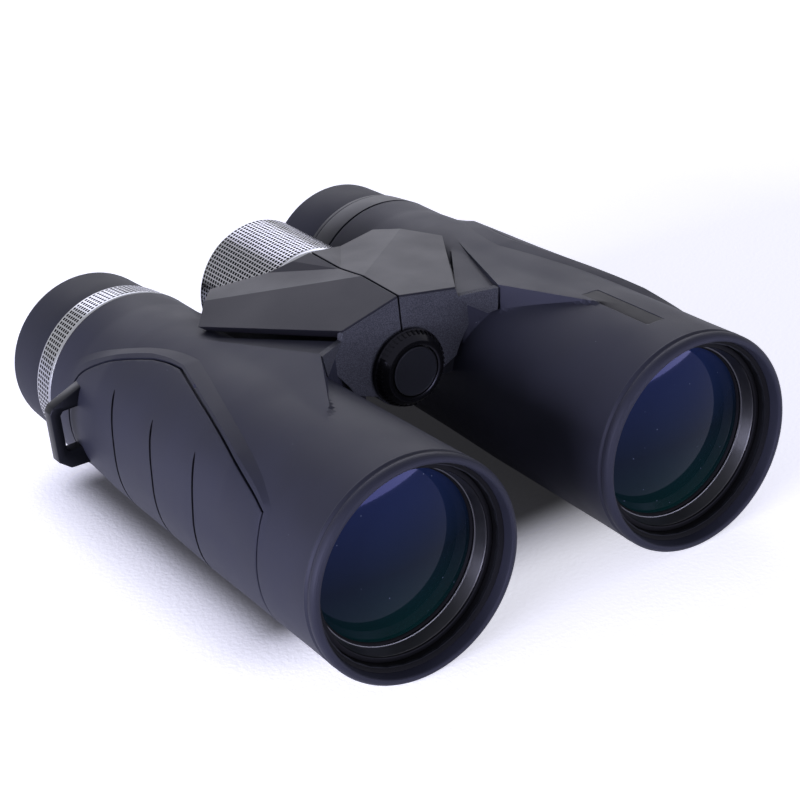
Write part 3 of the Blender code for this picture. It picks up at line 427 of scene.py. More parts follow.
def plain_radius(behind, degrees):
    """Radius of the armour and the pad without their seam and grooves."""
    points = np.stack([np.radians(degrees) * SHEET_RADIUS, behind], 1)
    base = np.interp(behind, *zip(*BARREL_LINE))
    share = np.clip((degrees - BORDER_FADE[0]) / (BORDER_FADE[1] - BORDER_FADE[0]), 0, 1)
    rise = np.interp(behind, *zip(*BORDER_RISE)) * share * share * (3 - 2 * share)
    to_top, to_foot = depth_in(points, border_top), depth_in(points, border_foot)
    slope = np.where(to_top <= 0, 1, np.where(to_foot >= 0, 0, -to_foot / (np.abs(to_foot) + to_top + 1e-9)))
    radius = base + rise * slope
    turn = np.radians(degrees)
    fin = block_radius(behind, turn, FIN_SIDES)
    ledge = block_radius(behind, turn, LEDGE_SIDES)
    soft = FIN_CRISP + (FIN_SOFT - FIN_CRISP) * np.clip((behind - 38) / 12, 0, 1)
    share = np.clip(0.5 + 0.5 * (fin - radius) / soft, 0, 1)
    radius = np.where(fin > -100, radius + (fin - radius) * share + soft * share * (1 - share), radius)
    radius = np.maximum(radius, ledge)
    toward = np.cos(turn) * -BARREL_X + np.sin(turn) * (HINGE_Z - BARREL_Z)
    gap = toward ** 2 - (BARREL_X ** 2 + (HINGE_Z - BARREL_Z) ** 2 - (WHEEL_RADIUS + WHEEL_GAP) ** 2)
    clear = np.where((gap > 0) & (toward > 0), toward - np.sqrt(np.maximum(gap, 0)), 1e3)
    beside_wheel = behind > WHEEL_FRONT - LIP - WHEEL_AHEAD
    return np.where(beside_wheel, np.minimum(radius, clear), radius)


def raise_by(bm, height_of):
    """Sets each flat point's height above the plain surface."""
    points = np.array([v.co.xy[:] for v in bm.verts])
    for v, height in zip(bm.verts, height_of(points)):
        v.co.z = height


def wrapped(bm, side):
    """Rolls the flat sheet round its barrel, on top of the plain surface."""
    behind = np.array([v.co.y for v in bm.verts])
    degrees = np.degrees(np.array([v.co.x for v in bm.verts]) / SHEET_RADIUS)
    for v, plain, b, turn in zip(bm.verts, plain_radius(behind, degrees), behind, np.radians(degrees)):
        radius = plain + v.co.z
        v.co = (BARREL_X + radius * math.cos(turn), LIP + b, BARREL_Z + radius * math.sin(turn))
    bmesh.ops.remove_doubles(bm, verts=bm.verts, dist=0.012)
    if side < 0:
        bmesh.ops.scale(bm, vec=(-1, 1, 1), verts=bm.verts)


def piece(name, bm, body, material, stands_for=(), slot=None, crease=30.0):
    """The finished mesh in metres, riding on its body. Faces are smooth up to the crease angle."""
    bmesh.ops.scale(bm, vec=(0.001, 0.001, 0.001), verts=bm.verts)
    mesh = bpy.data.meshes.new(name)
    bm.to_mesh(mesh)
    bm.free()
    for finish in material if isinstance(material, (list, tuple)) else [material]:
        mesh.materials.append(finish)
    mesh.shade_smooth()
    mesh.set_sharp_from_angle(angle=math.radians(crease))
    made = bpy.data.objects.new(name, mesh)
    add_to_scene(made)
    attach(made, body)
    if stands_for:
        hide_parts(*stands_for)


def body_of(name):
    """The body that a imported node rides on, from the record."""
    bodies = frame["record"]["behaviour"]["bodies"]
    return next(body for body, nodes in bodies.items() if name in nodes)


def remapped(tree, value, start, end, to_start, to_end):
    """The value's range stretched or squeezed into another."""
    return node(tree, "ShaderNodeMapRange", Value=value, i1=start, i2=end, i3=to_start, i4=to_end).outputs[0]


def noise(tree, place, size, detail, **others):
    """Soft noise with features of the given size in millimetres."""
    made = node(tree, "ShaderNodeTexNoise", Vector=place, Scale=1000 / size, Detail=detail, **others)
    return made.outputs["Fac"]


def blank_material(name):
    """A new material with an empty tree, and its coordinates in metres on the object."""
    material = bpy.data.materials.new(name)
    material.use_nodes = True
    tree = material.node_tree
    tree.nodes.clear()
    return material, tree, node(tree, "ShaderNodeTexCoord").outputs["Object"]


def moulded(name, colour, rough, grain, relief, patch=0.12, fleck=0.0, fleck_size=0.5, specular=0.18,
            dust=0.0):
    """A moulded finish. Grain, flecks and dust are sized in millimetres; relief is the grain's height."""
    material, tree, place = blank_material(name)
    cloud = noise(tree, place, 14, 3.0)
    tone = remapped(tree, cloud, 0.3, 0.7, 1 - patch, 1 + patch)
    spot = remapped(tree, noise(tree, place, fleck_size, 1.0), 0.42, 0.62, 1 - fleck, 1 + fleck)
    both = node(tree, "ShaderNodeMath", {"operation": "MULTIPLY"}, i0=tone, i1=spot).outputs[0]
    plain = srgb(colour)[:3]
    shade = node(tree, "ShaderNodeVectorMath", {"operation": "SCALE"}, i0=plain, Scale=both).outputs[0]
    if dust:
        motes = node(tree, "ShaderNodeTexVoronoi", {"feature": "F1"}, Vector=place, Scale=1000 / 5.5)
        mote = remapped(tree, motes.outputs["Distance"], dust / 11, dust / 8, 1.0, 0.0)
        shade = node(tree, "ShaderNodeVectorMath", {"operation": "MULTIPLY_ADD"}, i0=mote,
                     i1=srgb("5c5d66")[:3], i2=shade).outputs[0]
    gloss = remapped(tree, cloud, 0.3, 0.7, rough - 0.04, rough + 0.04)
    fine = noise(tree, place, grain, 2.0, Roughness=0.6)
    bump = node(tree, "ShaderNodeBump", Strength=1.0, Distance=relief / 1000, Height=fine).outputs[0]
    surface = node(tree, "ShaderNodeBsdfPrincipled", Base_Color=shade, Roughness=gloss, Normal=bump)
    surface.inputs["Specular IOR Level"].default_value = specular
    surface.inputs["Specular Tint"].default_value = srgb("d2d2f4")
    node(tree, "ShaderNodeOutputMaterial", Surface=surface.outputs[0])
    return material


# Soft-touch rubber: a blue-grey bloom that spreads every highlight into a wide, dull sheen.
soft_rubber = moulded("soft_touch_rubber", "1d1e28", 0.56, 0.22, 0.014, dust=0.16)
# The same rubber painted near-black for the bottom of a moulded groove: painted shade, where hardly any light
# gets out again.
painted_shade_groove_rubber = moulded("painted_shade_groove_rubber", "0b0b0d", 0.8, 0.22, 0.01, specular=0.2)

# Rolled front rim, from the sheet's edge round the lip and inside: (radius, behind the lip).
RIM_ROLL = [
    (26.5, 3.75), (26.42, 3.5), (26.28, 3.25), (26.18, 3.0), (26.17, 2.75), (26.25, 2.5), (26.38, 2.3),
    (26.47, 2.1), (26.5, 1.8), (26.47, 1.4), (26.36, 1.0), (26.15, 0.6), (25.85, 0.28), (25.5, 0.08),
    (25.15, 0.0), (24.95, 0.03), (24.75, 0.16), (24.6, 0.4), (24.5, 0.8), (24.42, 1.5), (24.3, 2.4),
    (24.25, 3.3),
]
REAR_ROLL = [(23.1, -0.35), (23.03, -0.17), (22.85, -0.04), (22.6, 0.0), (21.0, 0.0), (21.0, -1.0)]


def verts_in(items):
    """The corners among what an operator made."""
    return [item for item in items if isinstance(item, bmesh.types.BMVert)]


def turn_outward(bm):
    """Turns every face outwards."""
    bmesh.ops.recalc_face_normals(bm, faces=bm.faces)


def ring_on(bm, edges, radius, behind, side):
    """Extrudes a loop of edges and sets it on a circle round the barrel."""
    made = bmesh.ops.extrude_edge_only(bm, edges=edges)["geom"]
    for v in verts_in(made):
        out = Vector((v.co.x - side * BARREL_X, 0, v.co.z - BARREL_Z)).normalized() * radius
        v.co = (side * BARREL_X + out.x, LIP + behind, BARREL_Z + out.z)
    return [item for item in made if isinstance(item, bmesh.types.BMEdge)]


def build_armour(side):
    sheet = Sheet(4.0, BODY_END - LIP - 0.5)
    for line in (seam_outer, beside(seam, SEAM_WIDTH - 0.1), border_top, border_foot):
        sheet.score(line)
    for line in FIN_LINES + (BADGE_LINES if side > 0 else []):
        sheet.score(line, closed=False)
    bmesh.ops.remove_doubles(sheet.bm, verts=sheet.bm.verts, dist=0.03)

    def height_of(points):
        height = np.where(depth_in(points, seam) < SEAM_WIDTH - 0.02, PAD_SEAT, 0.0)
        if side > 0:
            height = np.where(depth_in(points, badge_edge) < -0.05, -BADGE_DEPTH, height)
        return height

    raise_by(sheet.bm, height_of)
    wrapped(sheet.bm, side)
    bm = sheet.bm
    edges = [edge for edge in bm.edges if edge.is_boundary]
    front = [edge for edge in edges if edge.verts[0].co.y < 0]
    rear = [edge for edge in edges if edge.verts[0].co.y > 0]
    for radius, behind in RIM_ROLL:
        front = ring_on(bm, front, radius, behind, side)
    for radius, behind in REAR_ROLL:
        rear = ring_on(bm, rear, radius, BODY_END - LIP + behind, side)
    bmesh.ops.bridge_loops(bm, edges=front + rear)
    turn_outward(bm)
    return bm


ledge_normal = (LEDGE_INNER - LEDGE_REAR).cross(LEDGE_OUTER - LEDGE_REAR)


def dropped(point):
    """The point let down onto the ledge's floor."""
    return Vector((point.x, point.y, point.z - (point - LEDGE_REAR).dot(ledge_normal) / ledge_normal.z))


def to_barrel(point):
    """The point let down onto the plain barrel."""
    radius = np.interp(point.y, *zip(*BARREL_LINE))
    return Vector((point.x, point.y, BARREL_Z + math.sqrt(max(1, radius ** 2 - (point.x - BARREL_X) ** 2))))


FIN_LINES = [
    straight(FIN_REAR, FIN_PEAK), straight(FIN_PEAK, FIN_TOE), straight(FIN_TOE, FIN_HEEL),
    straight(FIN_PEAK, FIN_HEEL), straight(dropped(FIN_REAR), dropped(FIN_PEAK)),
    straight(LEDGE_REAR, LEDGE_INNER), straight(LEDGE_INNER, LEDGE_OUTER),
    straight(to_barrel(LEDGE_REAR), to_barrel(LEDGE_INNER)),
    straight(to_barrel(LEDGE_INNER), to_barrel(LEDGE_OUTER)),
]

# The badge's shallow seat on the left barrel.
BADGE_DEPTH = 0.35
BADGE_TURN = (82.3, 93.3)          # degrees round the barrel
low, high = span("left_badge")
outer, inner = BADGE_TURN
corners = ((low.y, outer), (high.y, outer), (high.y, inner), (low.y, inner))
badge_edge = [on_sheet(y - LIP, degrees) for y, degrees in corners]
badge_inner = beside(badge_edge, 0.08)
if depth_in(np.array([tuple(badge_inner[0])]), badge_edge)[0] > 0:
    badge_edge.reverse()
    badge_inner = beside(badge_edge, -0.08)
BADGE_LINES = [badge_edge + badge_edge[:1], badge_inner + badge_inner[:1]]

for side, name in SIDES:
    piece(f"{name}_armour_skin", build_armour(side), body_of(f"{name}_armour"), soft_rubber,
          [f"{name}_armour"], "armour_rubber", crease=9)


# Grip pads. A separate pad of the same rubber lies in each seam, its edge rounded off, with three
# grooves that run out to a point. The ribs between them stop the fingers slipping.
def inlay(outline, top, edge, foot, cuts=(), cut_depth=0.0, cell_from=0.0, cell_to=1.0):
    """A closed pad on the flat sheet: its outline, rounded edge, narrow grooves and underside."""
    sheet = Sheet(cell_from, cell_to)
    rings = [outline] + [beside(outline, -edge * share) for share in (0.3, 1.0)]
    inner = [beside(cut, -0.07) for cut in cuts]
    for line in rings + list(cuts) + inner:
        sheet.score(line)
    bm = sheet.bm
    bmesh.ops.remove_doubles(bm, verts=bm.verts, dist=0.02)
    middles = np.array([face.calc_center_median().xy[:] for face in bm.faces])
    outside = depth_in(middles, outline) > 0
    bmesh.ops.delete(bm, geom=[face for face, out in zip(bm.faces, outside) if out], context="FACES")

    def height_of(points):
        reach = np.clip(edge + depth_in(points, outline), 0, edge)
        height = top - edge + np.sqrt(np.maximum(0, edge ** 2 - reach ** 2))
        for cut in cuts:
            height = np.where(depth_in(points, cut) < -0.04, height - cut_depth, height)
        return height

    raise_by(bm, height_of)
    middles = np.array([face.calc_center_median().xy[:] for face in bm.faces])
    # Groove floors take the second finish, the rubber painted near-black as shade.
    for cut in cuts:
        for face, deep in zip(bm.faces, depth_in(middles, cut) < 0):
            if deep:
                face.material_index = 1
    new = bmesh.ops.extrude_face_region(bm, geom=bm.faces[:], use_keep_orig=True)["geom"]
    for v in verts_in(new):
        v.co.z = foot
    return bm


for cut in grooves:
    if sum(a.cross(b) for a, b in zip(cut, cut[1:] + cut[:1])) > 0:
        cut.reverse()
for side, name in SIDES:
    bm = inlay(seam, 0.0, 0.25, PAD_FOOT, grooves, GROOVE_DEPTH, *PAD_STRETCH)
    wrapped(bm, side)
    turn_outward(bm)
    piece(f"{name}_grip_rubber", bm, body_of(f"{name}_grip_pad"), [soft_rubber, painted_shade_groove_rubber],
          [f"{name}_grip_pad"], "armour_rubber", crease=24)


# Badge plate. A slim blank plate with a coat of black lacquer, stuck in its seat on the left barrel.
def metal(name, colour, rough, wear=0.05, brushed=0.5, relief=0.004):
    """A metal whose polish varies a little; brushed is the size of its fine marks in millimetres."""
    material, tree, place = blank_material(name)
    gloss = remapped(tree, noise(tree, place, 6, 4.0), 0.3, 0.7, max(0.02, rough - wear), rough + wear)
    fine = noise(tree, place, brushed, 2.0)
    bump = node(tree, "ShaderNodeBump", Strength=1.0, Distance=relief / 1000, Height=fine).outputs[0]
    surface = node(tree, "ShaderNodeBsdfPrincipled", Base_Color=srgb(colour), Metallic=1.0,
                   Roughness=gloss, Normal=bump)
    node(tree, "ShaderNodeOutputMaterial", Surface=surface.outputs[0])
    return material


bm = inlay(badge_inner, -0.08, 0.1, -BADGE_DEPTH + 0.01, cell_from=13.0, cell_to=39.0)
wrapped(bm, 1)
turn_outward(bm)
# Black lacquer: darker and smoother than the rubber round it, so the plate reads as a crisp slot.
black_lacquer = moulded("black_lacquer", "0a0a0d", 0.5, 0.4, 0.002, patch=0.03, specular=0.08)
piece("left_badge_plate", bm, body_of("left_badge"), black_lacquer, ["left_badge"], "cap_plastic")


# Bridge cover. Two faceted halves of satin glass-filled nylon meet over the hinge, one fixed to each
# barrel. Every corner is (across, behind the lip, up) with its depth below the surface.
SEAM_X = 0.25
SEAM_DEPTH = 0.9         # down to the blade that keeps daylight out of the seam
COVER = {
    "rear": (SEAM_X, 96.1, 58.0, 2.0), "round": (5.0, 96.9, 57.0, 0.3), "flank": (10.7, 99.5, 55.03, 0.5),
    "tail": (24.0, 105.2, 53.4, 2.1), "tip": (28.8, 99.6, 53.74, 2.2), "wing": (35.7, 91.4, 52.02, 2.1),
    "corner": (16.2, 58.4, 55.11, 2.7), "front": (SEAM_X, 58.4, 58.49, 3.1),
    "crest": (SEAM_X, 73.0, 58.96, 3.0), "dip": (SEAM_X, 83.0, 57.75, 2.7),
}
UNDERCUT = 2.6           # how far the cover's outer wall leans in below its edge
COVER_FACETS = [
    ("rear", "round", "dip"), ("round", "flank", "dip"), ("flank", "tail", "tip", "crest", "dip"),
    ("crest", "tip", "wing", "corner", "front"),
]


def build_cover(side):
    bm = bmesh.new()
    corner = {key: bm.verts.new((side * x, LIP + b, z)) for key, (x, b, z, _) in COVER.items()}
    depth = {(side * x, LIP + b): d for x, b, _, d in COVER.values()}
    for facet in COVER_FACETS:
        bm.faces.new([corner[key] for key in facet])
    new = bmesh.ops.extrude_face_region(bm, geom=bm.faces[:], use_keep_orig=True)["geom"]
    for v in verts_in(new):
        key = min(depth, key=lambda place: (place[0] - v.co.x) ** 2 + (place[1] - v.co.y) ** 2)
        v.co.z -= depth[key]
        if abs(v.co.x) > 15:
            v.co.x -= side * UNDERCUT
    turn_outward(bm)
    sharp = [edge for edge in bm.edges if edge.calc_face_angle(0) > math.radians(40)]
    bmesh.ops.bevel(bm, geom=sharp, offset=0.16, segments=2, profile=0.5, affect="EDGES", material=-1)
    if side > 0:
        ridge = [COVER[key] for key in ("rear", "dip", "crest", "front")]
        top = [(b - inset, z - SEAM_DEPTH) for (_, b, z, _), inset in zip(ridge, (0.6, 0, 0, -0.6))]
        foot = [(b, z - depth + SEAM_DEPTH + 0.3) for (b, z), (_, _, _, depth) in zip(top, ridge)]
        blade = bm.faces.new([bm.verts.new((SEAM_X + 0.2, LIP + b, z)) for b, z in top + foot[::-1]])
        new = bmesh.ops.extrude_face_region(bm, geom=[blade], use_keep_orig=True)["geom"]
        bmesh.ops.translate(bm, vec=(-2 * SEAM_X - 0.15, 0, 0),
                            verts=verts_in(new))
        turn_outward(bm)
    return bm


# Satin nylon: smoother than the rubber, so that each facet takes its own even tone.
satin_nylon = moulded("satin_glass_filled_nylon", "121218", 0.48, 0.16, 0.006, patch=0.05)
for side, name in SIDES:
    piece(f"{name}_cover_half", build_cover(side), body_of(f"{name}_bridge_cover"), satin_nylon,
          [f"{name}_bridge_cover"], "bridge_plastic", crease=3.5)


# Front plates. A flat plate with a spark-eroded grain closes the bridge round the tripod
# cap; its outer part turns back to meet the fin. Outlines are (across, up).
PLATE_FACE = 58.25
PLATE_THICK = 1.8
TURNED_BACK = [(24.1, 53.2, 48.1), (24.95, 53.3, 53.6)]   # (across, behind the lip, up)
SLEEVE_RADIUS, KNUCKLE_RADIUS = 7.3, 10.0


def arc(centre_x, centre_z, radius, start, end, steps):
    turns = [math.radians(start + (end - start) * k / steps) for k in range(steps + 1)]
    return [(centre_x + radius * math.cos(t), centre_z + radius * math.sin(t)) for t in turns]


def build_plate(side):
    outline = [(SEAM_X, 58.05), (16.2, 54.66), (16.6, 52.6), (21.9, 45.2)]
    outline += arc(BARREL_X, BARREL_Z, 26.8, 136, 155, 8) + arc(0, HINGE_Z, KNUCKLE_RADIUS, -30, -64, 8)
    outline += arc(0, HINGE_Z, SLEEVE_RADIUS, -64, 88, 28)
    bm = bmesh.new()
    flat = [bm.verts.new((side * x, LIP + PLATE_FACE, z)) for x, z in outline]
    bm.faces.new(flat)
    bm.faces.new([flat[2], flat[3]] + [bm.verts.new((side * x, LIP + b, z)) for x, b, z in TURNED_BACK])
    new = bmesh.ops.extrude_face_region(bm, geom=bm.faces[:], use_keep_orig=True)["geom"]
    moved = verts_in(new)
    bmesh.ops.translate(bm, vec=(0, PLATE_THICK, 0), verts=moved)
    turn_outward(bm)
    rim = [edge for edge in bm.edges if edge.calc_face_angle(0) > math.radians(40)
           and all(v not in moved for v in edge.verts)]
    bmesh.ops.bevel(bm, geom=rim, offset=0.14, segments=1, profile=0.5, affect="EDGES", material=-1)
    return bm


# Grained nylon: fine flecks and pits, which sparkle faintly where the light comes in low.
grained_nylon = moulded("spark_grained_nylon", "32333a", 0.6, 0.25, 0.03, fleck=0.4, fleck_size=0.2)
for side, name in SIDES:
    piece(f"{name}_plate", build_plate(side), body_of(f"{name}_front_plate"), grained_nylon,
          [f"{name}_front_plate"], "bridge_plastic", crease=20)


# Focus wheel. Turned aluminium, chromed, with a square knurl rolled into it and a plain lip in
# front. A black cap closes its rear.
def turned(profile, axis_x, axis_z, steps=128):
    """A closed (radius, y) outline spun round the axis."""
    bm = bmesh.new()
    verts = [bm.verts.new((axis_x + radius, y, axis_z)) for radius, y in profile]
    edges = [bm.edges.new((a, b)) for a, b in zip(verts, verts[1:] + verts[:1])]
    bmesh.ops.spin(bm, geom=verts + edges, cent=(axis_x, 0, axis_z), axis=(0, 1, 0), angle=math.tau,
                   steps=steps, use_merge=True)
    bmesh.ops.remove_doubles(bm, verts=bm.verts, dist=0.002)
    lines = [edge for edge in bm.edges if not edge.link_faces]
    bmesh.ops.delete(bm, geom=lines, context="EDGES")
    turn_outward(bm)
    return bm


def eased(points, steps=3):
    """The outline with each (radius, y, ease) corner rounded off by its ease."""
    line = []
    for i, (radius, y, ease) in enumerate(points):
        here = Vector((radius, y))
        before, after = Vector(points[i - 1][:2]), Vector(points[(i + 1) % len(points)][:2])
        if not ease:
            line.append((radius, y))
            continue
        start = here + (before - here).normalized() * ease
        end = here + (after - here).normalized() * ease
        for k in range(steps + 1):
            t = k / steps
            line.append(tuple(start * (1 - t) ** 2 + here * 2 * t * (1 - t) + end * t ** 2))
    return line


def knurl(bm, first, last, land, pit):
    """Presses a pit into each face of the outer wall between two y values."""
    cells = [face for face in bm.faces if first < face.calc_center_median().y < last
             and abs(face.normal.y) < 0.3 and face.select]
    bmesh.ops.inset_individual(bm, faces=cells, thickness=land, depth=0.0)
    # The pits take the second finish, plating painted dark as shade.
    for face in cells:
        face.material_index = 1
    bmesh.ops.inset_individual(bm, faces=cells, thickness=0.07, depth=-pit)


def outer_wall(bm, axis_x, axis_z, radius, slack=0.6):
    """Marks the faces that lie near a radius, which are the ones to knurl."""
    for face in bm.faces:
        middle = face.calc_center_median()
        face.select = abs(math.hypot(middle.x - axis_x, middle.z - axis_z) - radius) < slack
    return bm


# Bright chrome: mirrors the white studio, so each land of the knurl is a point of light.
bright_chrome = metal("bright_chrome", "96979f", 0.22, 0.05, 0.3, 0.001)
# Pits of the knurl: the same plating, painted dark as shade in the pits.
painted_shade_pit_chrome = metal("painted_shade_pit_chrome", "101115", 0.5, 0.05)
KNURL_PITCH = 1.1
WALL_RADIUS = 16.95      # the wheel's wall between its two lips
rows = 23
start = WHEEL_FRONT + 1.9
stations = [start + (WHEEL_REAR - 0.7 - start) * k / rows for k in range(rows + 1)]
profile = [(radius, WHEEL_FRONT + behind) for radius, behind in (
    (7.4, 0.2), (15.9, 0), (16.5, 0.05), (16.85, 0.3), (17.0, 0.7), (17.0, 1.5), (16.85, 1.7))]
profile += [(WALL_RADIUS, y) for y in stations]
profile += [(radius, WHEEL_REAR - ahead) for radius, ahead in (
    (16.9, 0.45), (16.7, 0.15), (16.4, 0), (15.1, 0), (14.85, 0.2), (14.85, 2.6), (7.4, 2.6))]
columns = round(math.tau * WHEEL_RADIUS / KNURL_PITCH)
bm = outer_wall(turned(profile, 0, HINGE_Z, columns), 0, HINGE_Z, WALL_RADIUS, 0.1)
knurl(bm, stations[0], stations[-1], 0.24, 0.25)
piece("focus_wheel_rim", bm, body_of("focus_wheel"), [bright_chrome, painted_shade_pit_chrome], ["focus_wheel"],
      "silver_metal")

low, high = span("focus_wheel_cap")
# Gloss black plastic: hard clear highlights on the turned edges of small fittings.
gloss_black = moulded("gloss_black_abs", "0b0b0d", 0.2, 0.5, 0.002, patch=0.03)
profile = eased([(0, low.y, 0), (14.7, low.y, 0.1), (14.7, high.y, 0.3), (12.6, high.y, 0.1),
                 (12.3, high.y - 0.5, 0.1), (0, high.y - 0.5, 0)])
piece("focus_wheel_disc", turned(profile, 0, HINGE_Z, 96), body_of("focus_wheel_cap"), gloss_black,
      ["focus_wheel_cap"], "cap_plastic")


# Eyepiece bands. The right one is the dioptre ring of chromed metal, knurled like the wheel; the
# left one is plain black metal and fixed.
BAND_RADIUS = 22.7       # half way along the ring, which narrows towards the eye


def band_radius(y, low, high):
    return 23.15 - 0.9 * (y - low) / (high - low)


low, high = span("right_diopter_ring")
rows = 6
stations = [low.y + 0.75 + (high.y - low.y - 1.5) * k / rows for k in range(rows + 1)]
profile = [(19.2, low.y), (22.85, low.y), (23.1, low.y + 0.2), (23.15, low.y + 0.55)]
profile += [(band_radius(y, low.y, high.y), y) for y in stations]
profile += [(22.28, high.y - 0.5), (22.2, high.y - 0.2), (21.95, high.y), (19.2, high.y)]
columns = round(math.tau * BAND_RADIUS / (KNURL_PITCH * 1.12))
bm = outer_wall(turned(profile, -BARREL_X, BARREL_Z, columns), -BARREL_X, BARREL_Z, BAND_RADIUS, 0.6)
knurl(bm, stations[0], stations[-1], 0.3, 0.22)
piece("diopter_ring_knurled", bm, body_of("right_diopter_ring"), [bright_chrome, painted_shade_pit_chrome],
      ["right_diopter_ring"], "silver_metal")

# Anodised aluminium with a matt topcoat, nearly the tone of the rubber beside it.
matt_enamel = moulded("matt_black_enamel", "15161b", 0.45, 0.2, 0.003, patch=0.05)
low, high = span("left_eyepiece_band")
profile = eased([(19.2, low.y, 0), (23.15, low.y, 0.25), (22.42, high.y - 1.6, 0.08),
                 (22.25, high.y - 1.5, 0.08), (22.38, high.y - 1.4, 0.08), (22.2, high.y, 0.25),
                 (19.2, high.y, 0)])
piece("left_plain_band", turned(profile, BARREL_X, BARREL_Z, 144), body_of("left_eyepiece_band"), matt_enamel,
      ["left_eyepiece_band"], "black_metal")


# Eyecups. Soft rubber cups with a rounded rear edge and a funnel towards the eye lens; they turn
# up on a helix cut in the sleeve.
# Eyecup rubber: flatter and a touch bluer than the armour, with the faintest bloom.
cup_rubber = moulded("matt_eyecup_rubber", "1d1e27", 0.6, 0.3, 0.01, specular=0.12)
for side, name in SIDES:
    low, high = span(f"{name}_eyecup")
    profile = eased([
        (19.0, low.y, 0), (21.75, low.y, 0.25), (21.5, low.y + 5, 0), (21.1, high.y, 1.7),
        (18.6, high.y - 0.15, 0.4), (16.6, high.y - 1.4, 0.8), (15.6, high.y - 3.2, 0.3),
        (16.2, high.y - 4.4, 0.3), (18.9, high.y - 4.6, 0.2),
    ], 5)
    piece(f"{name}_eyecup_rubber", turned(profile, side * BARREL_X, BARREL_Z, 144), body_of(f"{name}_eyecup"),
          cup_rubber, [f"{name}_eyecup"], "eyecup_rubber", crease=35)


# Objectives. Each coated crown sits in a black cell behind a conical retaining ring with two
# polished edges; a rubber seal and a dark bore lead out to the rim. Outlines are from the lip.
# Satin grey metal: the cone that shows as a grey crescent inside the rim.
satin_ring = metal("satin_grey_aluminium", "4e4e54", 0.38, 0.05, 0.25, 0.003)
# Seal rubber: as dark as anything on the object, so that the polished edges read as thin lines.
black_seal = moulded("black_nitrile_seal", "060607", 0.5, 0.3, 0.004, specular=0.1)


def coated_glass(name, body, rim):
    """Magnesium fluoride over dark glass: navy inside, violet in its reflections, and a painted reflection
    that turns it teal low down.
    """
    material, tree, place = blank_material(name)
    # Painted reflection: the colour runs by height from the top colour through a dark middle to the low one.
    up = node(tree, "ShaderNodeSeparateXYZ", Vector=place).outputs["Z"]
    painted_reflection_share = remapped(tree, up, 0.047, 0.006, 0.0, 1.0)
    ramp = node(tree, "ShaderNodeValToRGB", Fac=painted_reflection_share)
    ramp.color_ramp.elements[0].color = srgb(body)
    ramp.color_ramp.elements[1].color = srgb(rim)
    middle = ramp.color_ramp.elements.new(0.55)
    middle.color = srgb("0b141c")
    dust = node(tree, "ShaderNodeTexVoronoi", {"feature": "F1"}, Vector=place, Scale=1000 / 3.4)
    mote = remapped(tree, dust.outputs["Distance"], 0.035, 0.05, 1.0, 0.0)
    spotted = node(tree, "ShaderNodeMix", {"data_type": "RGBA"}, i0=mote)
    tree.links.new(ramp.outputs[0], spotted.inputs[6])
    spotted.inputs[7].default_value = srgb("4b5266")
    surface = node(tree, "ShaderNodeBsdfPrincipled", Base_Color=spotted.outputs[2], Roughness=0.03)
    surface.inputs["Specular IOR Level"].default_value = 0.12
    surface.inputs["Specular Tint"].default_value = srgb("a8aaff")
    node(tree, "ShaderNodeOutputMaterial", Surface=surface.outputs[0])
    return material


coated_crown = coated_glass("coated_objective_glass", "161f3e", "061e1e")
CROWN_CURVE = 60.0
CROWN_EDGE = 20.6
# Rings in front of the glass, as (radius, behind the lip, ease) corners.
BORE = [(24.2, 2.7, 0.1), (23.3, 3.45, 0.2), (23.05, 4.2, 0), (23.05, 6.0, 0), (23.9, 6.0, 0), (24.2, 3.4, 0)]
SEAL_RING = [(22.95, 5.15, 0.2), (21.75, 5.1, 0.25), (21.6, 5.6, 0.1), (22.95, 5.75, 0.1)]
CONE = [(22.1, 5.95, 0), (21.95, 5.8, 0.05), (21.75, 5.85, 0.05), (21.65, 6.1, 0), (21.05, 8.55, 0),
        (20.95, 8.8, 0), (20.75, 8.85, 0.04), (20.7, 9.1, 0.05), (20.9, 9.3, 0), (22.1, 9.3, 0)]
BEZEL = [(21.3, 9.4, 0), (20.75, 9.45, 0.1), (20.25, 9.9, 0.15), (20.3, 10.4, 0.05), (21.3, 10.4, 0)]
RINGS = (
    ("bore_lining", BORE, "housing", black_seal, ()),
    ("seal_ring", SEAL_RING, "objective_seal", black_seal, ("seal_rubber",)),
    ("retaining_ring", CONE, "objective_ring", satin_ring, ("silver_metal",)),
    ("glass_bezel", BEZEL, "objective_cell", black_seal, ()),
)
drop = CROWN_CURVE - math.sqrt(CROWN_CURVE ** 2 - CROWN_EDGE ** 2)
dome = []
for k in range(27):
    radius = CROWN_EDGE * k / 26
    dome.append((radius, LIP + 10.1 - drop + CROWN_CURVE - math.sqrt(CROWN_CURVE ** 2 - radius ** 2)))
dome += [(CROWN_EDGE, LIP + 12.6), (0, LIP + 13.1)]
for side, name in SIDES:
    for ring, corners, packed, finish, own_slot in RINGS:
        outline = eased([(radius, LIP + behind, ease) for radius, behind, ease in corners])
        stands_for = [f"{name}_{packed}"] if own_slot else []
        piece(f"{name}_{ring}", turned(outline, side * BARREL_X, BARREL_Z, 144), body_of(f"{name}_{packed}"),
              finish, stands_for, *own_slot)
    piece(f"{name}_crown", turned(dome, side * BARREL_X, BARREL_Z, 144), body_of(f"{name}_objective_crown"),
          coated_crown, [f"{name}_objective_crown"], "coated_glass")


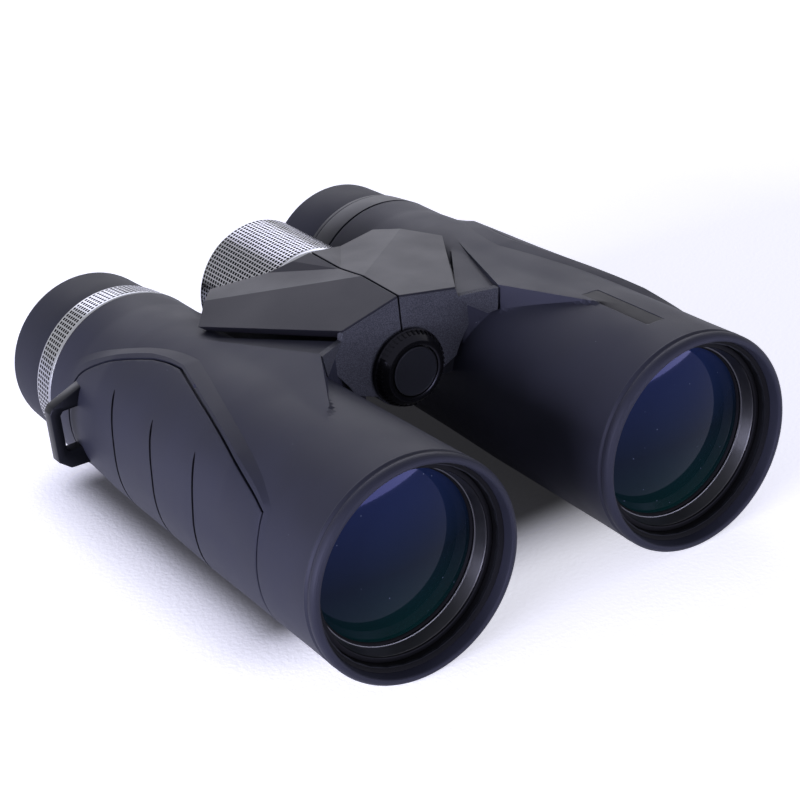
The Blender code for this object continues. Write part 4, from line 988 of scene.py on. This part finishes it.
# Tripod cap. A gloss black screw cap over the tripod socket: fine teeth round its cone, a smooth
# nose ring and a flat disc set in it.
low, high = span("tripod_cap")
FRONT, REAR = low.y, high.y
TEETH = 44
profile = [(6.3, REAR), (9.3, REAR), (9.6, REAR - 0.12), (9.7, REAR - 0.4), (9.65, REAR - 1.0),
           (9.3, REAR - 1.25), (8.75, REAR - 2.65), (8.3, FRONT + 0.75), (7.95, FRONT + 0.25), (7.6, FRONT),
           (6.75, FRONT), (6.45, FRONT + 0.15), (6.3, FRONT + 0.5)]
bm = turned(profile, 0, HINGE_Z, TEETH * 3)
cone = [face for face in bm.faces if REAR - 2.65 < face.calc_center_median().y < REAR - 1.25
        and math.hypot(face.calc_center_median().x, face.calc_center_median().z - HINGE_Z) > 8]
cone.sort(key=lambda face: math.atan2(face.calc_center_median().x, face.calc_center_median().z - HINGE_Z))
teeth = [face for i, face in enumerate(cone) if i % 3 == 0]
bmesh.ops.inset_individual(bm, faces=teeth, thickness=0.06, depth=0.28)
piece("tripod_cap_body", bm, body_of("tripod_cap"), gloss_black, ["tripod_cap"], "cap_plastic", crease=28)
low, high = span("tripod_cap_disc")
profile = eased([(0, FRONT + 0.12, 0), (5.7, FRONT + 0.12, 0.1), (5.75, FRONT - 0.02, 0.08),
                 (6.05, FRONT, 0.12), (6.1, high.y, 0), (0, high.y, 0)])
# Satin black plastic: the disc is duller than the ring round it.
satin_black = moulded("satin_black_abs", "15161a", 0.42, 0.3, 0.004, patch=0.04)
piece("tripod_cap_plate", turned(profile, 0, HINGE_Z, 96), body_of("tripod_cap_disc"), satin_black,
      ["tripod_cap_disc"], "cap_plastic")


# Strap lugs. A flat loop of hard black plastic stands out from each barrel; the strap runs
# through its slot. Outlines are (out from the axis, up from it).
LUG_OUTLINE = [(18.6, -9.0), (26.8, -8.5), (29.8, -6.0), (29.8, 7.2), (28.8, 8.6), (18.6, 12.4)]
LUG_SLOT = [(19.6, -3.9), (26.4, -3.9), (27.2, -3.1), (27.2, 6.1), (26.4, 6.9), (19.6, 6.9)]
# Hard gloss plastic; black in front, pale only along the edges.
hard_plastic = moulded("hard_black_plastic", "0c0d10", 0.34, 0.4, 0.004, patch=0.05)
for side, name in SIDES:
    low, high = span(f"{name}_strap_lug")
    bm = bmesh.new()
    loops = []
    for outline in (LUG_OUTLINE, LUG_SLOT):
        verts = [bm.verts.new((side * (BARREL_X + u), low.y, BARREL_Z + w)) for u, w in outline]
        loops += [bm.edges.new((a, b)) for a, b in zip(verts, verts[1:] + verts[:1])]
    bmesh.ops.bridge_loops(bm, edges=loops)
    new = bmesh.ops.extrude_face_region(bm, geom=bm.faces[:], use_keep_orig=True)["geom"]
    moved = verts_in(new)
    bmesh.ops.translate(bm, vec=(0, high.y - low.y, 0), verts=moved)
    turn_outward(bm)
    corners = [edge for edge in bm.edges if edge.calc_face_angle(0) > math.radians(20)]
    bmesh.ops.bevel(bm, geom=corners, offset=0.22, segments=2, profile=0.5, affect="EDGES", material=-1)
    piece(f"{name}_lug_loop", bm, body_of(f"{name}_strap_lug"), hard_plastic, [f"{name}_strap_lug"],
          "housing_plastic", crease=50)


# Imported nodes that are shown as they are: the housings, the hinge and the optics inside, which
# only need their finish.
# Housing nylon: plain and dark, seen only in the gaps.
housing_nylon = moulded("black_housing_nylon", "0e0f12", 0.5, 0.3, 0.01, patch=0.05)
# Prism and lens glass inside: dark, with a green-blue reflection painted into its colour by height.
inner_glass = coated_glass("inner_coated_glass", "1a2f33", "102a2a")
# Anodised aluminium: nearly black, with a soft grey shine along its edges.
black_anodised = metal("black_anodised_aluminium", "1b1c20", 0.42)
# Bright steel: cool and sharp, with fine turning marks.
turned_steel = metal("turned_steel", "b4b6bc", 0.25, 0.06, 0.2, 0.002)
# Brass: the warm metal of the focus screw and its nut.
turned_brass = metal("turned_brass", "c9a45a", 0.28, 0.06, 0.2, 0.002)
FINISHES = {
    "armour_rubber": soft_rubber, "bridge_plastic": satin_nylon, "housing_plastic": housing_nylon,
    "eyecup_rubber": cup_rubber, "black_metal": black_anodised, "silver_metal": satin_ring,
    "steel": turned_steel, "brass": turned_brass, "coated_glass": inner_glass, "prism_glass": inner_glass,
    "cap_plastic": gloss_black, "seal_rubber": black_seal,
}
for part in frame["record"]["subparts"]:
    mesh = bpy.data.objects[part["node"]].data
    mesh.materials.clear()
    mesh.materials.append(FINISHES[part["material_slot"]])
